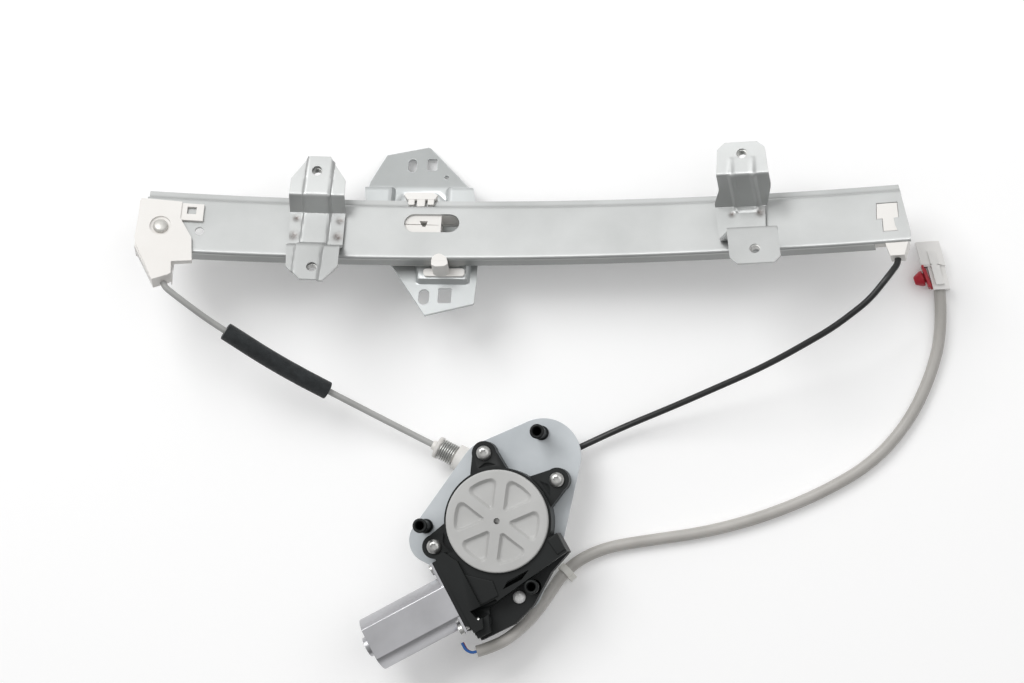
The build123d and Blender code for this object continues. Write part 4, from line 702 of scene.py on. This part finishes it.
# ==== Pulley end: cap, pulley and rivet ====
# The cap is white acetal pressed on the rail's end; a domed steel rivet holds it and is the pulley's
# pivot. The cap's low wall is cut back where the cable comes out, and a groove runs round the rivet.
cap_place = face_place(PULLEY_AT)
cap_mesh = combined(eased_mesh("pulley_bracket", 0.8), [
    *punches(cap_place, (oblong(9.6, -31, 24, -19), -14, -1.2), (oblong(-40, -45, 9.5, -19), -14, -8.6)),
    bar([[cap_place(x, y, z) for x, y in ring(0, PULLEY_UP, r, 48)]
         for r, z in ((5.2, 1.0), (6.6, 1.9), (6.9, 4.0))])], crossing=True)
new_piece("pulley_cap", cap_mesh, white_plastic, "frame", "pulley_bracket")
eased("cable_pulley", white_plastic, body="pulley")
rivet_zinc = surface("rivet_zinc", (0.60, 0.59, 0.56), (0.70, 0.69, 0.66), (0.4, 0.52), metal=0.6)
eased("pulley_rivet", rivet_zinc)

# ==== Right end: the cable guide ====
# White acetal, plugged into the window at the end of the rail; a funnel leads the conduit in. Its block
# is trimmed level with the slanted end of the rail.
guide_mesh = combined(eased_mesh("cable_guide", 0.5), [
    shaped_tool(face_place(WINDOW_AT), [(7.6, -1.2), (3.9, -1.6), (4.9, -6.5), (6.3, -10.6), (7.6, -10.6)],
                -1.9, 1),
    shaped_tool(face_place(238.0), [(-7.4, 30), (1.6, -18.6), (30, -18.6), (30, 30)], -14, 5),
    shaped_tool(face_place(232.0), oblong(-20, -30, 20, -18.6), -14, -8.4)],
    crossing=True)
new_piece("end_guide", guide_mesh, white_plastic, "frame", "cable_guide")

# ==== Cables and conduits ====
# Steel cables run in the rail and in two smooth nylon conduits, pressed into the cap, the guide and the
# drum housing; a slit foam sleeve keeps the grey one from rattling.
cable_steel = surface("cable_steel", (0.28, 0.28, 0.27), (0.46, 0.46, 0.44), (0.3, 0.45), metal=0.9, scale=4000,
                      bump=0.5, depth=0.0001)
for node, body in (("rail_cable", "frame"), ("grey_cable", "frame"), ("black_cable", "frame"),
                   ("drum_cable", "drum")):
    eased(node, cable_steel, body=body)
grey_sheath = surface("grey_conduit", (0.34, 0.34, 0.33), (0.42, 0.42, 0.41), (0.34, 0.46), scale=1400, bump=0.08)
eased("grey_conduit", grey_sheath)
black_sheath = surface("black_conduit", (0.012, 0.013, 0.013), (0.02, 0.021, 0.021), (0.3, 0.42), scale=1400,
                       bump=0.08)
eased("black_conduit", black_sheath)
foam = surface("foam", (0.010, 0.012, 0.013), (0.026, 0.030, 0.032), (0.85, 0.98), scale=900, patch=160,
               bump=0.9, depth=0.0005, sheen=0.15)
eased("foam_sleeve", foam, 0.9)

# ==== Mounting plate and stand-offs ====
# A blue-passivated steel plate between gear housing and drum housing. Three hollow posts of black nylon
# stand on it and take the screws from the door's panel.
blue_zinc = surface("blue_zinc", (0.46, 0.49, 0.51), (0.60, 0.63, 0.65), (0.36, 0.48), metal=0.75, scale=1300,
                    patch=25, bump=0.08)
eased("mounting_plate", blue_zinc, 0.35)
black_plastic = surface("black_nylon", (0.007, 0.008, 0.008), (0.013, 0.015, 0.015), (0.40, 0.56), scale=1800,
                        patch=26, bump=0.22, shine=0.28)
eased("standoff_posts", black_plastic)

# ==== Drum, its housing, the tensioner and its spring ====
# White acetal housing below the plate, with the drum inside. The coil spring, wound by a node group from
# steel wire, presses the tensioner's flange along the grey cable.
eased("drum_housing", white_plastic, 0.4)
eased("cable_drum", white_plastic, body="drum")
eased("tensioner_cap", white_plastic)
DRUM = Vector((-12.65, -74.9, 0))
DRUM_R, CABLE_Z, SPRING_FROM = 23.0, 15.5, 46.65
GREY_WAY = Vector((-0.894, 0.447, 0)).normalized()
GREY_FOOT = DRUM + Vector((GREY_WAY.y * DRUM_R, -GREY_WAY.x * DRUM_R, CABLE_Z))
SHAPE = ("Geometry", "Geometry")
spring_group, spring_in, spring_out = new_group(
    "coil_spring", "GeometryNodeTree", (SHAPE, ("Turns", "Float"), ("Radius", "Float"), ("Length", "Float"),
                                        ("Wire", "Float"), ("Material", "Material")), (SHAPE,))
helix = new_node(spring_group, "GeometryNodeCurveSpiral", {"Resolution": 28})
wire_ring = new_node(spring_group, "GeometryNodeCurvePrimitiveCircle", {"Resolution": 12})
wound = new_node(spring_group, "GeometryNodeCurveToMesh", {"Fill Caps": True})
whole = new_node(spring_group, "GeometryNodeRealizeInstances")
dressed = new_node(spring_group, "GeometryNodeSetMaterial")
link_all(spring_group,
         (spring_in, "Turns", helix, "Rotations"),
         (spring_in, "Radius", helix, "Start Radius"),
         (spring_in, "Radius", helix, "End Radius"),
         (spring_in, "Length", helix, "Height"),
         (spring_in, "Wire", wire_ring, "Radius"),
         (helix, "Curve", wound, "Curve"),
         (wire_ring, "Curve", wound, "Profile Curve"),
         (wound, "Mesh", whole, "Geometry"), (whole, "Geometry", dressed, "Geometry"),
         (spring_in, "Material", dressed, "Material"),
         (dressed, "Geometry", spring_out, "Geometry"))


def grown(name, group, values, place, base=None):
    """The mesh a Geometry Nodes group makes, moved to its place."""
    host = stand(name, base or bpy.data.meshes.new(name))
    build = host.modifiers.new("build", "NODES")
    build.node_group = group
    for item in group.interface.items_tree:
        if item.in_out == "INPUT" and item.name in values:
            build[item.identifier] = values[item.name]
    mesh = bpy.data.meshes.new_from_object(host.evaluated_get(bpy.context.evaluated_depsgraph_get()))
    bpy.data.objects.remove(host)
    mesh.transform(place)
    return mesh


spring_place = Matrix.Translation((GREY_FOOT + GREY_WAY * SPRING_FROM) / 1000) @ GREY_WAY.to_track_quat(
    "Z", "Y").to_matrix().to_4x4()
spring_mesh = grown("tensioner_coils", spring_group,
                    {"Turns": 7.0, "Radius": 0.0062, "Length": 0.0102, "Wire": 0.00058,
                     "Material": bright_steel}, spring_place)
new_piece("tensioner_coils", spring_mesh, bright_steel, "frame", "tensioner_spring")

# ==== Gear housing: black glass-filled nylon ====
# The moulding holds the wheel and the worm; three ears take the screws through the plate. It has a raised
# panel, a rib, a small boss, a tunnel block beside the worm and shallow pockets in its ears.
SCREW_PLACES = ((-22.65, -32.3), (23.35, -48.8), (-53.55, -90.8))
EAR_FROM, EAR_MARGIN, POCKET_Z = 35.2, 6.2, (38.2, 41.0)


def flat_place(x, y, z):
    """A plain upright place: the table's own coordinates."""
    return Vector((x, y, z))


housing_pits = []
for x, y in SCREW_PLACES:
    out = (Vector((x, y, 0)) - DRUM).normalized()
    side = Vector((-out.y, out.x, 0))
    foot = DRUM + out * EAR_FROM
    tip = Vector((x, y, 0)) - out * EAR_MARGIN
    housing_pits.append(shaped_tool(flat_place, [foot + side * 6, foot - side * 6, tip - side * 1.2,
                                                 tip + side * 1.2], *POCKET_Z))
housing_pits += punches(
    flat_place, ([(-28.6, -130.6), (-13.4, -122.8), (-9.6, -127.6), (-23.5, -136.0)], 44.0, 56.0),
    ([(-9.0, -117.0), (3.0, -110.6), (7.4, -104.6), (-6.2, -112.0)], 43.0, 56.0))
housing_mesh = combined(eased_mesh("gear_housing", 0.5), housing_pits, crossing=True)
new_piece("housing_body", housing_mesh, black_plastic, "frame", "gear_housing")
housing_relief = punches(
    flat_place, ([(-35.0, -107.3), (-15.0, -111.8), (-11.4, -120.8), (-26.9, -129.1)], 48.5, 50.6),
    ([(-12.2, -116.6), (0.8, -109.1), (0.0, -107.6), (-13.2, -115.0)], 37.0, 47.0),
    (ring(-20.0, -136.4, 3.4, 24), 37.0, 44.0),
    ([(18.6, -86.4), (24.4, -82.4), (30.2, -91.8), (25.0, -95.4)], 37.0, 50.4))
new_piece("housing_relief", moulded("housing_relief", housing_relief, 0.6), black_plastic, "frame")

# ==== Gear cover: a grey cap with six drafted pockets ====
# A disc of grey nylon pressed into the rim of the housing; the pockets leave six spokes round a small
# pivot hole.
COVER_R, COVER_TOP, COVER_BACK, SPOKES, SPOKE_HALF = 32.0, 52.5, 48.02, 6, 3.0


def sector_outline(start, end, inner, outer, half, corner):
    """A sector between two spokes of half width half, as points about the origin.

    corner gives the radii of its outer and its inner corners.
    """
    walk = []
    tip = max(inner + corner[1], (half + corner[1]) / 0.49)
    for reach, way in ((outer - corner[0], 1), (tip, -1)):
        curve = corner[0] if way > 0 else corner[1]
        a, b = start + math.asin((half + curve) / reach), end - math.asin((half + curve) / reach)
        arc = [Vector((math.cos(a + (b - a) * k / 12), math.sin(a + (b - a) * k / 12))) for k in range(13)]
        flanks = (Vector((math.sin(start), -math.cos(start))), Vector((-math.sin(end), math.cos(end))))
        first, last = flanks if way > 0 else flanks[::-1]
        stops = [(p * reach, p * way) for p in (arc if way > 0 else arc[::-1])]
        fan = [(stops[0][0], first.slerp(stops[0][1], t / 5)) for t in range(5)]
        close = [(stops[-1][0], stops[-1][1].slerp(last, t / 5)) for t in range(1, 6)]
        walk += [point + normal * curve for point, normal in fan + stops + close]
    return walk


def turned(name, profile, centre, steps=96):
    """A solid turned from a closed (radius, height) outline about an upright axis."""
    work = bmesh.new()
    rings = []
    for radius, height in profile:
        count = 1 if radius < 1e-6 else steps
        rings.append([work.verts.new((centre + Vector((x, y, height))) / 1000)
                      for x, y in ring(0, 0, radius, count)])
    closed = profile[0][0] > 1e-6
    for a, b in zip(rings, rings[1:] + (rings[:1] if closed else [])):
        for k in range(steps):
            corners = [a[k % len(a)], a[(k + 1) % len(a)], b[(k + 1) % len(b)], b[k % len(b)]]
            unique = list(dict.fromkeys(corners))
            if len(unique) > 2:
                work.faces.new(unique)
    bmesh.ops.recalc_face_normals(work, faces=work.faces)
    return as_mesh(name, work)


cover_mesh = turned("cover_cap", [
    (1.9, COVER_TOP - 0.2), (2.2, COVER_TOP), (30.9, COVER_TOP), (31.4, 52.38), (31.8, 52.05), (COVER_R, 51.5),
    (COVER_R, COVER_BACK), (29.9, COVER_BACK), (29.9, 46.2), (28.4, 46.2), (28.4, COVER_BACK), (1.9, COVER_BACK)],
    DRUM)
pocket_tools = []
for k in range(SPOKES):
    spoke = math.radians(23) + 2 * math.pi * k / SPOKES
    pocket_tools.append(bar([[DRUM + Vector((p.x, p.y, height)) for p in sector_outline(
        spoke, spoke + 2 * math.pi / SPOKES, 8.0 + draft, 26.9 - draft, SPOKE_HALF + draft, (2.9, 1.0))]
        for height, draft in ((53.2, -0.2), (COVER_TOP, 0.0), (52.1, 0.5), (50.3, 1.3), (49.7, 2.1))]))
cover_mesh = combined(cover_mesh, pocket_tools)
cover_plastic = surface("cover_grey", (0.44, 0.44, 0.43), (0.52, 0.52, 0.51), (0.42, 0.55), scale=1900, bump=0.18)
new_piece("cover_cap", cover_mesh, cover_plastic, "frame", "gear_cover")

# ==== Screws of the gear case and of the can ====
# Zinc-plated pan heads with a six-lobed recess; one screw is made and set out on its points by a node
# group. The can's own screws hold its flange to the gear housing.
scatter, scatter_in, scatter_out = new_group(
    "set_out", "GeometryNodeTree", (SHAPE, ("Screw", "Object"), ("Material", "Material")), (SHAPE,))
one_screw = new_node(scatter, "GeometryNodeObjectInfo")
placed = new_node(scatter, "GeometryNodeInstanceOnPoints")
made_real = new_node(scatter, "GeometryNodeRealizeInstances")
coated = new_node(scatter, "GeometryNodeSetMaterial")
link_all(scatter,
         (scatter_in, "Geometry", placed, "Points"),
         (scatter_in, "Screw", one_screw, "Object"),
         (one_screw, "Geometry", placed, "Instance"),
         (placed, "Instances", made_real, "Geometry"),
         (made_real, "Geometry", coated, "Geometry"),
         (scatter_in, "Material", coated, "Material"),
         (coated, "Geometry", scatter_out, "Geometry"))


def screw_mesh(head, height, shank, length):
    """A pan head screw pointing down from the origin, with a six-lobed recess."""
    solid = turned("one_screw", [
        (0, height), (head * 0.55, height - 0.15), (head * 0.8, height - 0.7), (head * 0.96, height - 1.6),
        (head, height - 2.2), (head, 0), (shank, 0), (shank, 0.5 - length), (shank - 0.5, -length), (0, -length)],
        Vector((0, 0, 0)), 48)
    lobes = []
    for turn in (2 * math.pi * k / 48 for k in range(48)):
        reach = head * (0.40 + 0.07 * math.cos(6 * turn))
        lobes.append((reach * math.cos(turn), reach * math.sin(turn)))
    return combined(solid, [shaped_tool(flat_place, lobes, height - 2.0, height + 1)])


def set_out(name, places, one, skin, node):
    """Copies of one screw at the places, standing in for the node."""
    points = bpy.data.meshes.new(name + "_points")
    points.from_pydata([Vector(p) / 1000 for p in places], [], [])
    tool = stand("one_screw", one)
    mesh = grown(name, scatter, {"Screw": tool, "Material": skin}, Matrix.Identity(4), points)
    bpy.data.objects.remove(tool)
    return new_piece(name, mesh, skin, "frame", node)


set_out("case_screws", [(x, y, 40.0) for x, y in SCREW_PLACES], screw_mesh(4.65, 3.4, 2.5, 24.0), bright_steel,
        "gearcase_screws")
white_zinc = surface("white_zinc", (0.80, 0.80, 0.79), (0.88, 0.88, 0.87), (0.3, 0.42), metal=0.35, bump=0.06)
set_out("low_case_screw", [(0.05, -121.8, 38.0)], screw_mesh(4.0, 3.4, 2.5, 19.0), white_zinc, "low_screw")
eased("can_screws", bright_steel, 0.3)

# ==== Gear train: worm wheel, rubber damper, shaft and bushing ====
# An acetal wheel drives the steel shaft through a ring of rubber; the shaft turns in a bronze bushing.
eased("worm_wheel", white_plastic, body="drum")
rubber = surface("damper_rubber", (0.016, 0.016, 0.016), (0.03, 0.03, 0.03), (0.7, 0.85), bump=0.3)
eased("wheel_damper", rubber, body="drum")
eased("output_shaft", bright_steel, body="drum")
bronze = surface("oiled_bronze", (0.40, 0.25, 0.11), (0.52, 0.34, 0.16), (0.35, 0.5), metal=0.9, scale=2500,
                 bump=0.3)
eased("shaft_bushing", bronze)
eased("shaft_bearings", bronze)

# ==== Motor: can, magnets, brushes ====
# A deep-drawn steel can with two flats and glued ferrite arcs. A black card in its mouth holds the carbon
# brushes; its end is trimmed level with the housing.
can_steel = surface("can_steel", (0.46, 0.46, 0.475), (0.58, 0.58, 0.60), (0.3, 0.42), metal=0.85, scale=1200,
                    stretch=0.4)
eased("motor_can", can_steel, 0.9)
ferrite = surface("ferrite", (0.035, 0.035, 0.038), (0.06, 0.06, 0.065), (0.55, 0.7), bump=0.3)
eased("motor_magnets", ferrite)
card_mesh = combined(eased_mesh("brush_card", 0.0), [
    shaped_tool(flat_place, [(-50, -140), (-29, -140), (-25, -156), (-50, -156)], 5, 60)])
new_piece("brush_card_end", card_mesh, black_plastic, "frame", "brush_card")
carbon = surface("brush_carbon", (0.02, 0.02, 0.021), (0.045, 0.045, 0.046), (0.45, 0.6), scale=2200, bump=0.2)
eased("motor_brushes", carbon)

# ==== Armature: shaft with its worm, laminated core, windings, commutator ====
# Steel laminations, enamelled copper coils and a copper commutator on one ground shaft, which runs in
# bronze bearings; the worm is cut on its free end.
laminated = surface("laminations", (0.20, 0.20, 0.20), (0.32, 0.32, 0.31), (0.35, 0.5), metal=0.85, scale=600,
                    stretch=6.0, bump=0.5, depth=0.0001)
eased("rotor_core", laminated, body="armature")
enamel = surface("copper_enamel", (0.34, 0.10, 0.04), (0.52, 0.18, 0.07), (0.25, 0.4), metal=0.7, scale=1800,
                 bump=0.7, depth=0.0002)
eased("rotor_windings", enamel, body="armature")
copper = surface("bare_copper", (0.62, 0.30, 0.17), (0.74, 0.40, 0.24), (0.25, 0.38), metal=0.95, scale=2000,
                 bump=0.15)
eased("commutator", copper, body="armature")
eased("armature_shaft", bright_steel, body="armature")

# ==== Leads, tie, connector and its clip ====
# Red and blue leads enter the sleeve at the motor, and a nylon tie holds it to the housing's corner. The
# two-way plug at the far end has tinned pins and a red clip whose prong snaps into the door's panel.
def parted(node, names, skins):
    """The node's loose solids as separate pieces, from low to high, each with its own finish."""
    work = bmesh.new()
    work.from_mesh(nodes[node].data)
    bmesh.ops.remove_doubles(work, verts=work.verts, dist=1e-6)
    groups, seen = [], set()
    for start in work.verts:
        if start in seen:
            continue
        group, queue = set(), [start]
        while queue:
            here = queue.pop()
            if here not in group:
                group.add(here)
                queue += [e.other_vert(here) for e in here.link_edges]
        seen |= group
        groups.append(group)
    groups.sort(key=lambda g: sum(v.co.z for v in g) / len(g))
    for rank, (name, skin) in enumerate(zip(names, skins)):
        index = {v: i for i, v in enumerate(groups[rank])}
        mesh = bpy.data.meshes.new(name)
        mesh.from_pydata([v.co[:] for v in index], [], [[index[v] for v in f.verts] for f in work.faces
                                                        if f.verts[0] in index])
        new_piece(name, mesh, skin, "frame", *([node] if rank == 0 else []))
    work.free()


red_lead = surface("lead_red", (0.42, 0.02, 0.02), (0.52, 0.03, 0.03), (0.35, 0.5))
blue_lead = surface("lead_blue", (0.02, 0.10, 0.36), (0.03, 0.15, 0.46), (0.35, 0.5))
parted("motor_leads", ("lead_red", "lead_blue"), (red_lead, blue_lead))
tie_nylon = surface("natural_nylon", (0.72, 0.71, 0.66), (0.80, 0.79, 0.75), (0.35, 0.48))
eased("cable_tie", tie_nylon, 0.25)
plug_grey = surface("plug_grey", (0.86, 0.85, 0.83), (0.93, 0.92, 0.90), (0.38, 0.5), scale=1700)


PLUG_LEAN, PLUG_BACK = 0.2, 0.0765


def leaned(mesh):
    """The plug lies a little askew: each point shifts sideways with its distance from the plug's back."""
    for vertex in mesh.vertices:
        vertex.co.x -= PLUG_LEAN * (vertex.co.y - PLUG_BACK)
    return mesh


plug_mesh = combined(eased_mesh("connector_housing", 0.55, 3), punches(
    flat_place, ([(252.4, 86.2), (257.6, 86.6), (257.6, 87.1), (252.4, 86.7)], 12.4, 16),
    ([(260.6, 86.8), (263.6, 86.4), (263.6, 86.9), (260.6, 87.3)], 12.4, 16)), crossing=True)
new_piece("plug_body", leaned(plug_mesh), plug_grey, "frame", "connector_housing")
brass = surface("tinned_brass", (0.60, 0.55, 0.42), (0.70, 0.66, 0.54), (0.25, 0.4), metal=0.9, scale=2000)
new_piece("plug_pins", leaned(eased_mesh("connector_terminals", 0.0)), brass, "frame", "connector_terminals")
clip_red = surface("clip_red", (0.38, 0.008, 0.02), (0.50, 0.015, 0.035), (0.34, 0.48))
clip_foot, clip_way = Vector((251.2, 79.3, 7.4)), Vector((-0.93, -0.3, 0)).normalized()
clip_side = Vector((-clip_way.y, clip_way.x, 0))
clip_solids = punches(
    flat_place, ([(248.6, 86.4), (250.0, 86.9), (255.0, 73.0), (253.6, 72.5)], 1.2, 14.2),
    ([(250.6, 84.4), (251.6, 84.8), (255.6, 74.0), (254.6, 73.6)], 3.0, 12.0),
    ([(254.2, 74.4), (256.6, 75.0), (257.2, 72.4), (254.9, 71.9)], 4.0, 11.0))
clip_solids.append(bar([[clip_foot + clip_way * reach + clip_side * x + Vector((0, 0, y))
                         for x, y in ring(0, 0, radius, 28)]
                        for reach, radius in ((-0.6, 3.2), (0.9, 3.2), (1.0, 4.9), (2.6, 4.9), (6.4, 2.9),
                                              (7.0, 2.1))]))
new_piece("plug_clip", moulded("plug_clip", clip_solids, 0.25), clip_red, "frame", "connector_clip")
